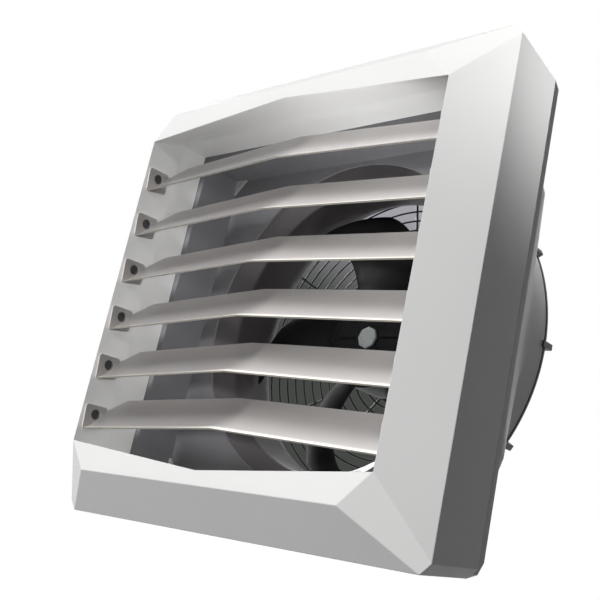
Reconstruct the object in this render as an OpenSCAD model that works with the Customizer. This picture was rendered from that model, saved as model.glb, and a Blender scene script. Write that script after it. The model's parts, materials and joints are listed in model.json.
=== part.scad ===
// Destratification fan: a square casing with six tilting louvres in front of an axial fan.
// All sizes are in millimetres. Seen from the front, X is to the right, Y to the back and Z up.
// The origin is on the fan's axis, in the plane of the four hanging inserts' mouths.
// Depths are counted from the front edge of the side walls, and placed() moves them to the origin.

/* [Casing] */
// Width and height over the front edge
case_w = 700; // [692:2:712]
// Cut across each outside corner
corner_cut = 14; // [8:1:20]
// How far the side walls lean in at their rear edge
side_draft = 10.5; // [6:0.5:13]
// How far the front bars stand ahead of the front edge
bar_depth = 65; // [60:1:72]
// How far the side walls run back from the front edge
side_depth = 108; // [100:1:120]
// Depth of the plain lip behind the side walls
lip_depth = 11; // [6:1:14]
// Thickness of the moulded walls
wall = 4; // [3:0.5:4.5]
// Width of each side bar, from the casing's side to the opening
side_bar_w = 55; // [52:1:60]
// Height of the upper and lower bars at their ends
bar_end_h = 99; // [94:1:104]
// Height of the upper and lower bars in the middle
bar_mid_h = 76; // [73:1:80]
// Distance from the drum's front to its rear face
drum_depth = 128; // [124:1:140]

/* [Louvres] */
// Distance from the opening's upper corners down to the first pivot
first_pivot = 57.4; // [54:0.2:60]
// Distance from the last pivot down to the opening's lower corners
last_pivot = 45.6; // [43:0.2:48]
// Thickness of a louvre's blade
blade_t = 2.4; // [2:0.1:3]
// Thickness of the ears at a louvre's ends
ear_t = 3; // [2.5:0.5:4]
// Radius of the pivot head that the ear turns on
pivot_r = 8; // [7:0.5:9]
// Running clearance of the ear on the pivot
pivot_gap = 0.05; // [0.02:0.01:0.1]
// Radius of the pin behind the pivot head
pin_r = 5; // [4:0.5:6]

/* [Fan] */
// How far the round throat lies inside the opening's height in the middle
throat_inset = 43; // [42:1:48]
// Gap from the blade tips to the throat
tip_gap = 6; // [4:0.5:10]
// Number of fan blades
fan_blade_count = 5; // [3:1:6]
// Radius of the hub
hub_r = 80; // [78:1:84]
// Thickness of a fan blade
fan_blade_t = 3; // [2:0.5:4]
// Blade angle at the hub, from the plane of rotation
root_angle = 36; // [30:1:40]
// Blade angle at the tip
tip_angle = 20; // [15:1:26]
// Radius of the motor's shaft
shaft_r = 8.5; // [7:0.5:10]

/* [Guard] */
// Distance between the rings of the guard
ring_pitch = 15; // [12:0.5:18]
// Radius of the ring wire
ring_wire_r = 1.5; // [1:0.1:2]
// Radius of the strut wire
strut_wire_r = 2; // [1.6:0.1:2.4]
// Number of struts, each held by a clip at the rim
strut_count = 12; // [8:2:16]

/* [Fixings] */
// Distance from the casing's rear edge in to each hanging insert
hang_edge = 37.5; // [35:0.5:44]
// Radius of the thread core in each hanging insert
hang_core_r = 3.4; // [3:0.1:4.2]
// Radius of the cable hole through the gland
cable_r = 4.5; // [3.5:0.5:5]

/* [Hidden] */
$fn = 96;
cut = 1;
weld = 0.2;

light_grey = [0.9, 0.9, 0.9];
mid_grey = [0.75, 0.75, 0.74];
dark_grey = [0.3, 0.3, 0.31];
black = [0.1, 0.1, 0.1];
steel = [0.7, 0.7, 0.7];
brass = [0.75, 0.6, 0.3];

// Lengths along the depth
duct_past_side = 22;
hang_past_side = 42;
cone_run = 28;
drum_run = 83;
loft_from_rear = 46;
bell_run = 33;
flange_t = 4;
hub_from_rear = 36;
hub_depth = 68;
plate_past_drum = 64;
plate_t = 3;

// Depths behind the front edge
step_y = -4;
duct_y = 50;
lip_y = side_depth + lip_depth;
duct_back_y = side_depth + duct_past_side;
hang_y = side_depth + hang_past_side;
throat_y = duct_back_y + cone_run;
drum_y = duct_back_y + drum_depth;
drum_base_y = drum_y - drum_run;
loft_y = drum_y - loft_from_rear;
bell_y = drum_y - bell_run;
rim_y = drum_y + flange_t;
hub_front_y = drum_y - hub_from_rear;
hub_back_y = hub_front_y + hub_depth;
plate_y = drum_y + plate_past_drum;
box_y = plate_y + plate_t;

// Casing
half = case_w / 2;
rear_half = half - side_draft;
rear_cut_less = 1;
rear_cut = corner_cut - rear_cut_less;
open_x = half - side_bar_w;
open_side = half - bar_end_h;
open_mid = half - bar_mid_h;
corner_back = 2;
ridge_in = 43;
ridge_up = 20;
ridge_x = open_x - ridge_in;
ridge_z = open_mid + ridge_up;
hollow_slack = 0.5;
duct_step = 4;
duct_x = open_x + duct_step;
duct_z = open_mid;

// Drum and nozzle
throat_r = open_mid - throat_inset;
drum_past_throat = 59;
drum_flare = 10;
drum_r = throat_r + drum_past_throat;
drum_base_r = drum_r + drum_flare;
drum_wall = 7;
drum_overrun = 20;
loft_rim = 2;
loft_less = 1;
cone_flare = 25;
plate_hole_r = throat_r + cone_flare;
skin_t = 3;
bell_from_rim = 18;
bell_r = drum_r - bell_from_rim;
seat_w = 20;
nozzle_edge = 1;
bell_steps = 10;

// Air duct
liner_t = 4;
liner_in_x = 11;
liner_in_z = 12;
liner_x = duct_x - liner_in_x;
liner_z = duct_z - liner_in_z;

// Casing screws and the bosses they sit in
screw_x = [110, 240];
screw_in = 11.5;
screw_z = rear_half - screw_in;
screw_r = 2.5;
screw_gap = 0.2;
screw_head_r = 5;
screw_head_h = 3.5;
head_gap = 0.5;
screw_bite = 25;
boss_r = 8;
boss_front_y = -12;
boss_deep = 40;
screw_floor = 8;
hole_spare = 2;

// Louvres: corners of a blade's upper face, as depth and height from its pivot
pivot_y = -38;
ear_gap = 1;
ear_x = open_x - ear_gap - ear_t;
blade_into_ear = 0.5;
blade_end_x = ear_x + blade_into_ear;
cut_len = 25;
cut_x = ear_x - cut_len;
end_tip = [-16, -24.2];
end_knee = [-8.2, -19.7];
end_rear = [18, 12.7];
cut_rear = [34, 32.6];
mid_tip = [-19.5, -10.2];
mid_knee = [-11.7, -5.7];
mid_rear = [21.6, 42.5];
blade_down = [0.7, -0.714] * blade_t;
ear_outline = [
    [-15, -26.5], [-18, -24], [-21, 10.5], [-18, 13.5], [16, 15.5], [19, 12.5], [20, -16], [17.5, -19]
];
louvre_count = 6;
louvre_pitch = (2 * open_side - first_pivot - last_pivot) / (louvre_count - 1);
louvre_heights = [for (i = [0:louvre_count - 1]) open_side - first_pivot - i * louvre_pitch];

// Pivot pins, pressed into bosses on the inside of the side bars
head_front = 0.5;
pin_len = 11;
pin_boss_r = 9;
pin_boss_end = 1.5;
socket_depth = 2.5;

// Fan blades
fan_r = throat_r - tip_gap;
blade_sink = 1;
root_chord = 100;
tip_chord = 146;
root_back = 30;
root_mid_y = hub_front_y + root_back;
blade_lean = 0.145;
blade_rows = 9;
blade_cols = 10;
camber = 7;
sweep = 24;

// Hub and motor
hub_wall = 6;
hub_face_in = 12;
hub_face_r = hub_r - hub_face_in;
hub_face_t = 2;
cap_r = 18;
cap_t = 4;
bell_gap = 4;
stator_in = 14;
stator_r = hub_r - stator_in;
stator_back = 14;
stator_front_y = hub_front_y + stator_back;
bearing_ring = 9;
bearing_r = shaft_r + bearing_ring;
bearing_w = 10;
bearing_back = 4;
bearing_span = 56;
bearing_front_y = stator_front_y + bearing_back;
bearing_back_y = bearing_front_y + bearing_span;
run_gap = 0.03;
end_flange_in = 8;
end_flange_t = 18;
end_flange_r = hub_r - end_flange_in;
end_flange_y = plate_y - end_flange_t;
shaft_over = 2;
shaft_end_y = bearing_back_y + bearing_w + shaft_over;
motor_screw_in = 16;
motor_screw_pos = hub_r - motor_screw_in;
motor_screw_r = 3;
motor_head_r = 5;
motor_head_h = 4;
motor_bite = 12;
plate_r = hub_r;
wire_hole_r = 9;

// Guard
rim_ring_in = 10;
rim_ring_r = drum_r - rim_ring_in;
rim_wire_r = 2.5;
first_ring_out = 10;
first_ring_r = plate_r + first_ring_out;
inner_ring_in = 4;
inner_ring_r = plate_r - inner_ring_in;
strut_end_in = 2;
strut_lift = 0.4;
strut_in = [plate_r - strut_end_in, box_y + strut_wire_r + strut_lift];
strut_out = [rim_ring_r, rim_y + 2 * rim_wire_r + strut_wire_r - weld];
strut_over = 3;
wire_gap = 0.05;
clip_w = 9;
clip_inside = 15;
clip_outside = 4.5;
clip_cover = 3;
clip_in_r = drum_r - clip_inside;
clip_out_r = drum_r + clip_outside;
clip_h = 2 * (rim_wire_r + strut_wire_r) + clip_cover;
clip_hook = 7;
hook_gap = 0.2;
clip_screw_in = 3.5;
clip_screw_pos = drum_r - clip_screw_in;
clip_screw_r = 2;
clip_head_r = 2.8;
clip_head_h = 2;
clip_bite = 10;

// Hanging inserts
hang_half = rear_half - hang_edge;
insert_r = 6;
insert_len = 25;
hang_boss_r = 12;
hang_boss_floor = 6;

// Terminal box behind the motor
box_w = 84;
box_h = 64;
box_d = 28;
box_wall = 2.5;
lid_t = 4;
lid_rim = 2;
lid_rim_wall = 2;
lid_rim_gap = 0.3;
lid_rim_side = 14;
post_r = 4;
lid_screw_inset = 6;
lid_screw_r = 1.5;
lid_screw_bite = 10;
lid_head_r = 3;
lid_head_h = 2;
block_w = 42;
block_h = 14;
block_d = 12;
block_z = 12;
block_holes = 5;
block_hole_r = 2.2;
block_floor = 4;
gland_r = 8;
gland_hex_r = 12.7;
gland_hex_h = 7;
gland_dome_h = 12;
dome_base_in = 2;
dome_top_in = 4.5;
gland_back = 15;
gland_y = box_y + gland_back;
gland_inside = 8;
nut_r = 11.5;
nut_h = 4.5;

// Turns a shape drawn along Z so that it runs to the back
module along_y() {
    rotate([-90, 0, 0]) children();
}

// Moves a part from the front edge's plane to the plane of the hanging inserts
module placed() {
    translate([0, -hang_y, 0]) children();
}

// Repeats a part in even turns round the fan's axis
module around(count, start) {
    for (k = [0:count - 1])
        rotate([0, start + k * 360 / count, 0])
            children();
}

// A cylinder that runs to the back from a point
module rod_y(r, x, y, z, length) {
    translate([x, y, z]) along_y() cylinder(r = r, h = length);
}

// A box between two opposite corners
module block(low, high) {
    translate(low) cube(high - low);
}

// The convex body over a list of points, all of them mirrored left to right and top to bottom
module body_over(points) {
    all_points = [for (p = points) for (sx = [-1, 1]) for (sz = [-1, 1]) [sx * p[0], p[1], sz * p[2]]];
    hull() polyhedron(points = all_points, faces = [[for (i = [0:len(all_points) - 1]) i]]);
}

// Faces of a thin sheet over a grid of points, its upper layer first and then its lower layer.
// Up to the row named turn, the cells are split along their other diagonal.
function cell(a, b, c, d, other) = other ? [[a, b, d], [b, c, d]] : [[a, b, c], [a, c, d]];
function layer(rows, cols, turn) = [
    for (row = [0:rows - 2])
        for (col = [0:cols - 2])
            let (a = row * cols + col)
                for (f = cell(a, a + 1, a + cols + 1, a + cols, row < turn)) f
];
function border(rows, cols) = concat(
    [for (col = [0:cols - 2]) col],
    [for (row = [0:rows - 2]) row * cols + cols - 1],
    [for (col = [cols - 1:-1:1]) (rows - 1) * cols + col],
    [for (row = [rows - 1:-1:1]) row * cols]
);
function sheet_faces(rows, cols, turn) =
    let (n = rows * cols, top = layer(rows, cols, turn), edge = border(rows, cols))
    concat(
        [for (f = top) [f[2], f[1], f[0]]],
        [for (f = top) f + [n, n, n]],
        [
            for (i = [0:len(edge) - 1])
                let (p = edge[i], q = edge[(i + 1) % len(edge)])
                    for (f = [[p, q, q + n], [p, q + n, p + n]]) f
        ]
    );

// Places that repeat
casing_screw_places = [for (x = screw_x) for (sx = [-1, 1]) for (sz = [-1, 1]) [sx * x, sz * screw_z]];
hang_places = [for (sx = [-1, 1]) for (sz = [-1, 1]) [sx * hang_half, sz * hang_half]];
lid_places = [
    for (sx = [-1, 1])
        for (sz = [-1, 1])
            [sx * (box_w / 2 - lid_screw_inset), sz * (box_h / 2 - lid_screw_inset)]
];

// The mirrored points of the panel's outside, of its hollow and of the air's way through it
panel_outside = [
    [half, 0, half - corner_cut],
    [half - corner_cut, 0, half],
    [rear_half, side_depth, rear_half - rear_cut],
    [rear_half - rear_cut, side_depth, rear_half],
    [open_x, -bar_depth + corner_back, open_side],
    [ridge_x, -bar_depth, ridge_z],
    [0, -bar_depth - cut, open_mid]
];
panel_hollow = [
    [half - wall - hollow_slack, wall, half - corner_cut - wall / 2],
    [half - corner_cut - wall / 2, wall, half - wall - hollow_slack],
    [rear_half - wall, side_depth + cut, rear_half - rear_cut - wall / 2],
    [rear_half - rear_cut - wall / 2, side_depth + cut, rear_half - wall],
    [open_x - wall / 2, wall - bar_depth + corner_back, open_side - wall / 2],
    [ridge_x - wall / 2, wall - bar_depth, ridge_z - wall / 2],
    [0, wall - bar_depth, open_mid]
];
function air_way(t) = [
    [open_x + t, -bar_depth - 2 * cut, open_side + t],
    [open_x + t, -bar_depth + corner_back, open_side + t],
    [0, -bar_depth - 2 * cut, open_mid + t],
    [0, -bar_depth + corner_back, open_mid + t],
    [open_x + t, step_y, duct_z + t]
];

module front_panel() {
    color(light_grey)
    placed()
    difference() {
        union() {
            difference() {
                body_over(panel_outside);
                difference() {
                    body_over(panel_hollow);
                    body_over(air_way(wall));
                    block(
                        [-duct_x - wall, step_y - wall, -duct_z - wall],
                        [duct_x + wall, duct_y, duct_z + wall]
                    );
                }
            }
            for (p = casing_screw_places)
                rod_y(boss_r, p[0], boss_front_y, p[1], side_depth - boss_front_y);
            for (sx = [-1, 1])
                for (z = louvre_heights)
                    translate([sx * (open_x + wall / 2), pivot_y, z])
                        rotate([0, sx * 90, 0])
                            cylinder(r = pin_boss_r, h = pin_len + pin_boss_end - wall / 2);
        }
        body_over(air_way(0));
        block([-duct_x, step_y, -duct_z], [duct_x, duct_y + cut, duct_z]);
        for (p = casing_screw_places)
            rod_y(screw_r, p[0], side_depth - boss_deep, p[1], boss_deep + cut);
        for (sx = [-1, 1])
            for (z = louvre_heights)
                translate([sx * (open_x - cut), pivot_y, z])
                    rotate([0, sx * 90, 0])
                        cylinder(r = pin_r, h = pin_len + cut);
    }
}

// The square lip and the loft behind it, drawn in by an inset
module rear_body(inset, front) {
    w = rear_half - inset;
    c = rear_cut + inset / 2;
    hull() {
        translate([0, lip_y, 0])
            rotate([90, 0, 0])
                linear_extrude(height = lip_depth + front)
                    polygon([
                        [w, w - c], [w - c, w], [c - w, w], [-w, w - c],
                        [-w, c - w], [c - w, -w], [w - c, -w], [w, c - w]
                    ]);
        translate([0, loft_y - inset - loft_rim, 0])
            along_y()
                cylinder(r = drum_r - loft_less - inset, h = loft_rim, $fn = 64);
    }
}

module rear_casing() {
    color(light_grey)
    placed()
    difference() {
        union() {
            difference() {
                union() {
                    rear_body(0, 0);
                    translate([0, drum_base_y, 0])
                        along_y()
                            cylinder(r1 = drum_base_r, r2 = drum_r, h = drum_run);
                }
                rear_body(wall, cut);
                rod_y(drum_r - drum_wall, 0, drum_base_y - drum_overrun, 0, drum_run + drum_overrun + cut);
            }
            intersection() {
                rear_body(wall / 8, 0);
                union() {
                    for (p = casing_screw_places)
                        rod_y(boss_r, p[0], side_depth, p[1], drum_y - side_depth);
                }
            }
            for (p = hang_places)
                rod_y(hang_boss_r, p[0], hang_y - insert_len - hang_boss_floor, p[1],
                    insert_len + hang_boss_floor);
        }
        for (p = casing_screw_places) {
            rod_y(screw_r + screw_gap, p[0], side_depth - cut, p[1], screw_floor + 2 * cut);
            rod_y(screw_head_r + head_gap, p[0], side_depth + screw_floor, p[1], drum_y - side_depth);
        }
        for (p = hang_places)
            rod_y(insert_r, p[0], hang_y - insert_len, p[1], insert_len + cut);
        around(strut_count, 0)
            rod_y(clip_screw_r, clip_screw_pos, drum_y - clip_bite - hole_spare, 0, clip_bite + hole_spare + cut);
    }
}

module air_duct() {
    color(dark_grey)
    placed()
    difference() {
        union() {
            block([-duct_x - wall, duct_y, -duct_z - wall], [duct_x + wall, duct_y + skin_t, duct_z + wall]);
            block(
                [-liner_x - liner_t, duct_y, -liner_z - liner_t],
                [liner_x + liner_t, duct_back_y, liner_z + liner_t]
            );
        }
        block([-liner_x, duct_y - cut, -liner_z], [liner_x, duct_back_y - liner_t, liner_z]);
        rod_y(plate_hole_r, 0, duct_y, 0, duct_back_y);
    }
}

// Half section of the nozzle: the air side to the back, then the outside to the front
bell_inside = [
    for (k = [0:bell_steps])
        let (a = 90 * k / bell_steps)
            [bell_r - (bell_r - throat_r) * cos(a), bell_y + (rim_y - bell_y) * sin(a)]
];
bell_outside = [
    for (k = [bell_steps:-1:0])
        let (a = 90 * k / bell_steps)
            [bell_r - (bell_r - throat_r - skin_t) * cos(a), bell_y + (drum_y - bell_y) * sin(a)]
];
nozzle_section = concat(
    [[plate_hole_r + seat_w, duct_back_y], [plate_hole_r, duct_back_y], [throat_r, throat_y]],
    bell_inside,
    [[drum_r + nozzle_edge, rim_y], [drum_r + nozzle_edge, drum_y]],
    bell_outside,
    [
        [throat_r + skin_t, throat_y + cut],
        [plate_hole_r + skin_t, duct_back_y + skin_t],
        [plate_hole_r + seat_w, duct_back_y + skin_t]
    ]
);
module fan_nozzle() {
    color(dark_grey)
    placed()
    difference() {
        along_y()
            rotate_extrude($fn = 144)
                polygon(nozzle_section);
        around(strut_count, 0)
            rod_y(clip_screw_r + wire_gap, clip_screw_pos, drum_y - cut, 0, flange_t + 2 * cut);
    }
}

// Louvre blade: three points across at its ends, its cut corners and its middle
function between(a, b, t) = a + (b - a) * t;
function across(x, rear, knee, tip) = [for (p = [rear, knee, tip]) [x, p[0], p[1]]];
louvre_half = [
    across(cut_x, cut_rear, between(mid_knee, end_knee, cut_x / ear_x), between(mid_tip, end_tip, cut_x / ear_x)),
    across(blade_end_x, end_rear, end_knee, end_tip)
];
function mirrored(row) = [for (p = row) [-p[0], p[1], p[2]]];
louvre_rows = [
    mirrored(louvre_half[1]), mirrored(louvre_half[0]), across(0, mid_rear, mid_knee, mid_tip),
    louvre_half[0], louvre_half[1]
];
louvre_upper = [for (row = louvre_rows) for (p = row) p];
louvre_lower = [for (p = louvre_upper) p + [0, blade_down[0], blade_down[1]]];

module louvre(number) {
    color(mid_grey)
    placed()
    translate([0, pivot_y, louvre_heights[number - 1]])
    difference() {
        union() {
            polyhedron(points = concat(louvre_upper, louvre_lower), faces = sheet_faces(5, 3, 2));
            for (x = [ear_x, -ear_x - ear_t])
                translate([x, 0, 0])
                    rotate([90, 0, 90])
                        linear_extrude(height = ear_t)
                            polygon(ear_outline);
        }
        for (x = [ear_x, -ear_x - ear_t - cut])
            translate([x, 0, 0])
                rotate([0, 90, 0])
                    cylinder(r = pivot_r + pivot_gap, h = ear_t + cut);
    }
}
module louvre_1() { louvre(1); }
module louvre_2() { louvre(2); }
module louvre_3() { louvre(3); }
module louvre_4() { louvre(4); }
module louvre_5() { louvre(5); }
module louvre_6() { louvre(6); }

module louvre_pins() {
    color(black)
    placed()
    for (sx = [-1, 1])
        for (z = louvre_heights)
            translate([sx * (ear_x + head_front), pivot_y, z])
                rotate([0, sx * 90, 0])
                    difference() {
                        union() {
                            cylinder(r = pivot_r, h = open_x - ear_x - head_front);
                            cylinder(r = pin_r, h = open_x - ear_x - head_front + pin_len);
                        }
                        translate([0, 0, -cut])
                            cylinder(r = pin_r, h = socket_depth + cut);
                    }
}

module fan_hub() {
    color(black)
    placed()
    difference() {
        union() {
            rod_y(hub_r, 0, hub_front_y, 0, hub_back_y - hub_front_y);
            rod_y(hub_face_r, 0, hub_front_y - hub_face_t, 0, hub_face_t + cut);
        }
        rod_y(stator_r + bell_gap, 0, hub_front_y + hub_wall, 0, hub_back_y);
        rod_y(shaft_r, 0, hub_front_y - hub_face_t - cut, 0, hub_face_t + hub_wall + 2 * cut);
    }
}

// A point of a fan blade: row 0 is at the hub, column 0 at one edge, side is -1 or 1
function fan_blade_point(row, col, side) =
    let (
        t = row / (blade_rows - 1),
        s = col / (blade_cols - 1) - 0.5,
        out = (fan_r - hub_r + blade_sink) * t,
        radius = hub_r - blade_sink + out,
        angle = between(root_angle, tip_angle, t),
        chord = between(root_chord, tip_chord, t),
        lift = camber * (1 - 4 * s * s) + side * fan_blade_t / 2,
        turn = s * chord * cos(angle) - lift * sin(angle),
        depth = s * chord * sin(angle) + lift * cos(angle),
        theta = 90 + sweep * t * t + turn / radius * 180 / PI
    )
    [radius * cos(theta), root_mid_y - blade_lean * out - depth, radius * sin(theta)];

module fan_blades() {
    color(black)
    placed()
    around(fan_blade_count, 0)
        polyhedron(
            points = [
                for (side = [-1, 1])
                    for (row = [0:blade_rows - 1])
                        for (col = [0:blade_cols - 1])
                            fan_blade_point(row, col, side)
            ],
            faces = sheet_faces(blade_rows, blade_cols, 0)
        );
}

module hub_cap() {
    color(mid_grey)
    placed()
    translate([0, hub_front_y - hub_face_t - cap_t, 0])
        along_y()
            cylinder(r = cap_r, h = cap_t, $fn = 8);
}

module motor_shaft() {
    color(steel)
    placed()
    rod_y(shaft_r, 0, hub_front_y - hub_face_t, 0, shaft_end_y - hub_front_y + hub_face_t);
}

module motor_bearings() {
    color(steel)
    placed()
    for (y = [bearing_front_y, bearing_back_y])
        difference() {
            rod_y(bearing_r, 0, y, 0, bearing_w);
            rod_y(shaft_r + run_gap, 0, y - cut, 0, bearing_w + 2 * cut);
        }
}

module motor_stator() {
    color(steel)
    placed()
    difference() {
        union() {
            rod_y(stator_r, 0, stator_front_y, 0, end_flange_y - stator_front_y + cut);
            rod_y(end_flange_r, 0, end_flange_y, 0, plate_y - end_flange_y);
        }
        rod_y(bearing_r, 0, stator_front_y - cut, 0, bearing_back_y + bearing_w - stator_front_y + cut);
        rod_y(wire_hole_r, 0, bearing_back_y, 0, plate_y - bearing_back_y + cut);
        around(4, 45)
            rod_y(motor_screw_r, motor_screw_pos, plate_y - motor_bite - hole_spare, 0, motor_bite + hole_spare + cut);
    }
}

module motor_plate() {
    color(black)
    placed()
    difference() {
        rod_y(plate_r, 0, plate_y, 0, plate_t);
        rod_y(wire_hole_r, 0, plate_y - cut, 0, plate_t + 2 * cut);
        around(4, 45)
            rod_y(motor_screw_r + screw_gap, motor_screw_pos, plate_y - cut, 0, plate_t + 2 * cut);
    }
}

module motor_screws() {
    color(steel)
    placed()
    around(4, 45) {
        rod_y(motor_screw_r, motor_screw_pos, plate_y - motor_bite, 0, motor_bite + plate_t);
        rod_y(motor_head_r, motor_screw_pos, box_y, 0, motor_head_h);
    }
}

// The struts lean: depth of a strut's centre line at a radius
strut_slope = atan((strut_out[1] - strut_in[1]) / (strut_out[0] - strut_in[0]));
function strut_y(r) = strut_in[1] + (r - strut_in[0]) * tan(strut_slope);
ring_drop = (ring_wire_r + strut_wire_r - weld) / cos(strut_slope);
ring_count = floor((clip_in_r - 2 * ring_wire_r - first_ring_r) / ring_pitch);

module wire_ring(r, y, wire) {
    translate([0, y, 0])
        along_y()
            rotate_extrude()
                translate([r, 0])
                    circle(r = wire, $fn = 16);
}

module guard_rings() {
    color(black)
    placed() {
        wire_ring(rim_ring_r, rim_y + rim_wire_r, rim_wire_r);
        for (k = [0:ring_count])
            let (r = first_ring_r + k * ring_pitch)
                wire_ring(r, strut_y(r) - ring_drop, ring_wire_r);
        wire_ring(inner_ring_r, box_y + strut_wire_r - wire_gap, strut_wire_r);
    }
}

module strut_wire(extra) {
    translate([strut_in[0], strut_in[1], 0])
        rotate([0, 0, strut_slope])
            rotate([0, 90, 0])
                cylinder(r = strut_wire_r + extra, h = norm(strut_out - strut_in) + strut_over, $fn = 24);
}

module guard_struts() {
    color(black)
    placed()
    around(strut_count, 0)
        strut_wire(0);
}

module guard_clips() {
    color(dark_grey)
    placed()
    around(strut_count, 0)
        difference() {
            union() {
                block([clip_in_r, rim_y, -clip_w / 2], [clip_out_r, rim_y + clip_h, clip_w / 2]);
                block(
                    [drum_r + nozzle_edge + hook_gap, drum_y - clip_hook, -clip_w / 2],
                    [clip_out_r, rim_y + cut, clip_w / 2]
                );
            }
            wire_ring(rim_ring_r, rim_y + rim_wire_r, rim_wire_r + wire_gap);
            strut_wire(wire_gap);
            rod_y(clip_screw_r + wire_gap, clip_screw_pos, rim_y - cut, 0, clip_h + 2 * cut);
        }
}

module guard_screws() {
    color(steel)
    placed()
    around(strut_count, 0) {
        rod_y(clip_screw_r, clip_screw_pos, drum_y - clip_bite, 0, clip_bite + flange_t + clip_h);
        rod_y(clip_head_r, clip_screw_pos, rim_y + clip_h, 0, clip_head_h);
    }
}

module casing_screws() {
    color(steel)
    placed()
    for (p = casing_screw_places) {
        rod_y(screw_r, p[0], side_depth - screw_bite, p[1], screw_bite + screw_floor);
        rod_y(screw_head_r, p[0], side_depth + screw_floor, p[1], screw_head_h);
    }
}

module hanging_inserts() {
    color(brass)
    placed()
    for (p = hang_places)
        difference() {
            rod_y(insert_r, p[0], hang_y - insert_len, p[1], insert_len);
            rod_y(hang_core_r, p[0], hang_y - insert_len - cut, p[1], insert_len + 2 * cut);
        }
}

module terminal_box() {
    color(dark_grey)
    placed()
    difference() {
        union() {
            difference() {
                block([-box_w / 2, box_y, -box_h / 2], [box_w / 2, box_y + box_d, box_h / 2]);
                block(
                    [box_wall - box_w / 2, box_y + box_wall, box_wall - box_h / 2],
                    [box_w / 2 - box_wall, box_y + box_d + cut, box_h / 2 - box_wall]
                );
            }
            for (p = lid_places)
                rod_y(post_r, p[0], box_y + cut, p[1], box_d - cut);
        }
        for (p = lid_places)
            rod_y(lid_screw_r, p[0], box_y + box_d - lid_screw_bite - hole_spare, p[1],
                lid_screw_bite + hole_spare + cut);
        rod_y(wire_hole_r, 0, box_y - cut, 0, box_wall + 2 * cut);
        translate([0, gland_y, -box_h / 2 - cut])
            cylinder(r = gland_r, h = box_wall + 2 * cut);
    }
}

module terminal_block() {
    color(light_grey)
    placed()
    difference() {
        block(
            [-block_w / 2, box_y + box_wall, block_z],
            [block_w / 2, box_y + box_wall + block_d, block_z + block_h]
        );
        for (k = [1:block_holes])
            rod_y(block_hole_r, block_w * (k / (block_holes + 1) - 0.5), box_y + box_wall + block_floor,
                block_z + block_h / 2, block_d);
    }
}

module terminal_lid() {
    rim_x = box_w / 2 - lid_rim_side;
    rim_z = box_h / 2 - box_wall - lid_rim_gap;
    color(dark_grey)
    placed()
    difference() {
        union() {
            block([-box_w / 2, box_y + box_d, -box_h / 2], [box_w / 2, box_y + box_d + lid_t, box_h / 2]);
            block([-rim_x, box_y + box_d - lid_rim, -rim_z], [rim_x, box_y + box_d + cut, rim_z]);
        }
        block(
            [lid_rim_wall - rim_x, box_y + box_d - lid_rim - cut, lid_rim_wall - rim_z],
            [rim_x - lid_rim_wall, box_y + box_d, rim_z - lid_rim_wall]
        );
        for (p = lid_places)
            rod_y(lid_screw_r + screw_gap, p[0], box_y + box_d - cut, p[1], lid_t + 2 * cut);
    }
}

module lid_screws() {
    color(steel)
    placed()
    for (p = lid_places) {
        rod_y(lid_screw_r, p[0], box_y + box_d - lid_screw_bite, p[1], lid_screw_bite + lid_t);
        rod_y(lid_head_r, p[0], box_y + box_d + lid_t, p[1], lid_head_h);
    }
}

module cable_gland() {
    color(black)
    placed()
    translate([0, gland_y, -box_h / 2])
    rotate([180, 0, 0])
    difference() {
        union() {
            translate([0, 0, -box_wall - gland_inside])
                cylinder(r = gland_r, h = box_wall + gland_inside + cut);
            cylinder(r = gland_hex_r, h = gland_hex_h, $fn = 6);
            translate([0, 0, gland_hex_h - cut])
                cylinder(r1 = gland_hex_r - dome_base_in, r2 = gland_hex_r - dome_top_in, h = gland_dome_h);
        }
        translate([0, 0, -box_wall - gland_inside - cut])
            cylinder(r = cable_r, h = box_wall + gland_inside + gland_hex_h + gland_dome_h + 2 * cut);
    }
}

module gland_nut() {
    color(black)
    placed()
    translate([0, gland_y, box_wall - box_h / 2])
    difference() {
        cylinder(r = nut_r, h = nut_h, $fn = 6);
        translate([0, 0, -cut])
            cylinder(r = gland_r, h = nut_h + 2 * cut);
    }
}

front_panel();
rear_casing();
air_duct();
fan_nozzle();
louvre_1();
louvre_2();
louvre_3();
louvre_4();
louvre_5();
louvre_6();
louvre_pins();
fan_hub();
fan_blades();
hub_cap();
motor_shaft();
motor_bearings();
motor_stator();
motor_plate();
motor_screws();
guard_rings();
guard_struts();
guard_clips();
guard_screws();
casing_screws();
hanging_inserts();
terminal_box();
terminal_block();
terminal_lid();
lid_screws();
cable_gland();
gland_nut();
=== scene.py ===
"""Visual model of a square destratification fan with six tilting louvres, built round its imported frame."""

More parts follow.
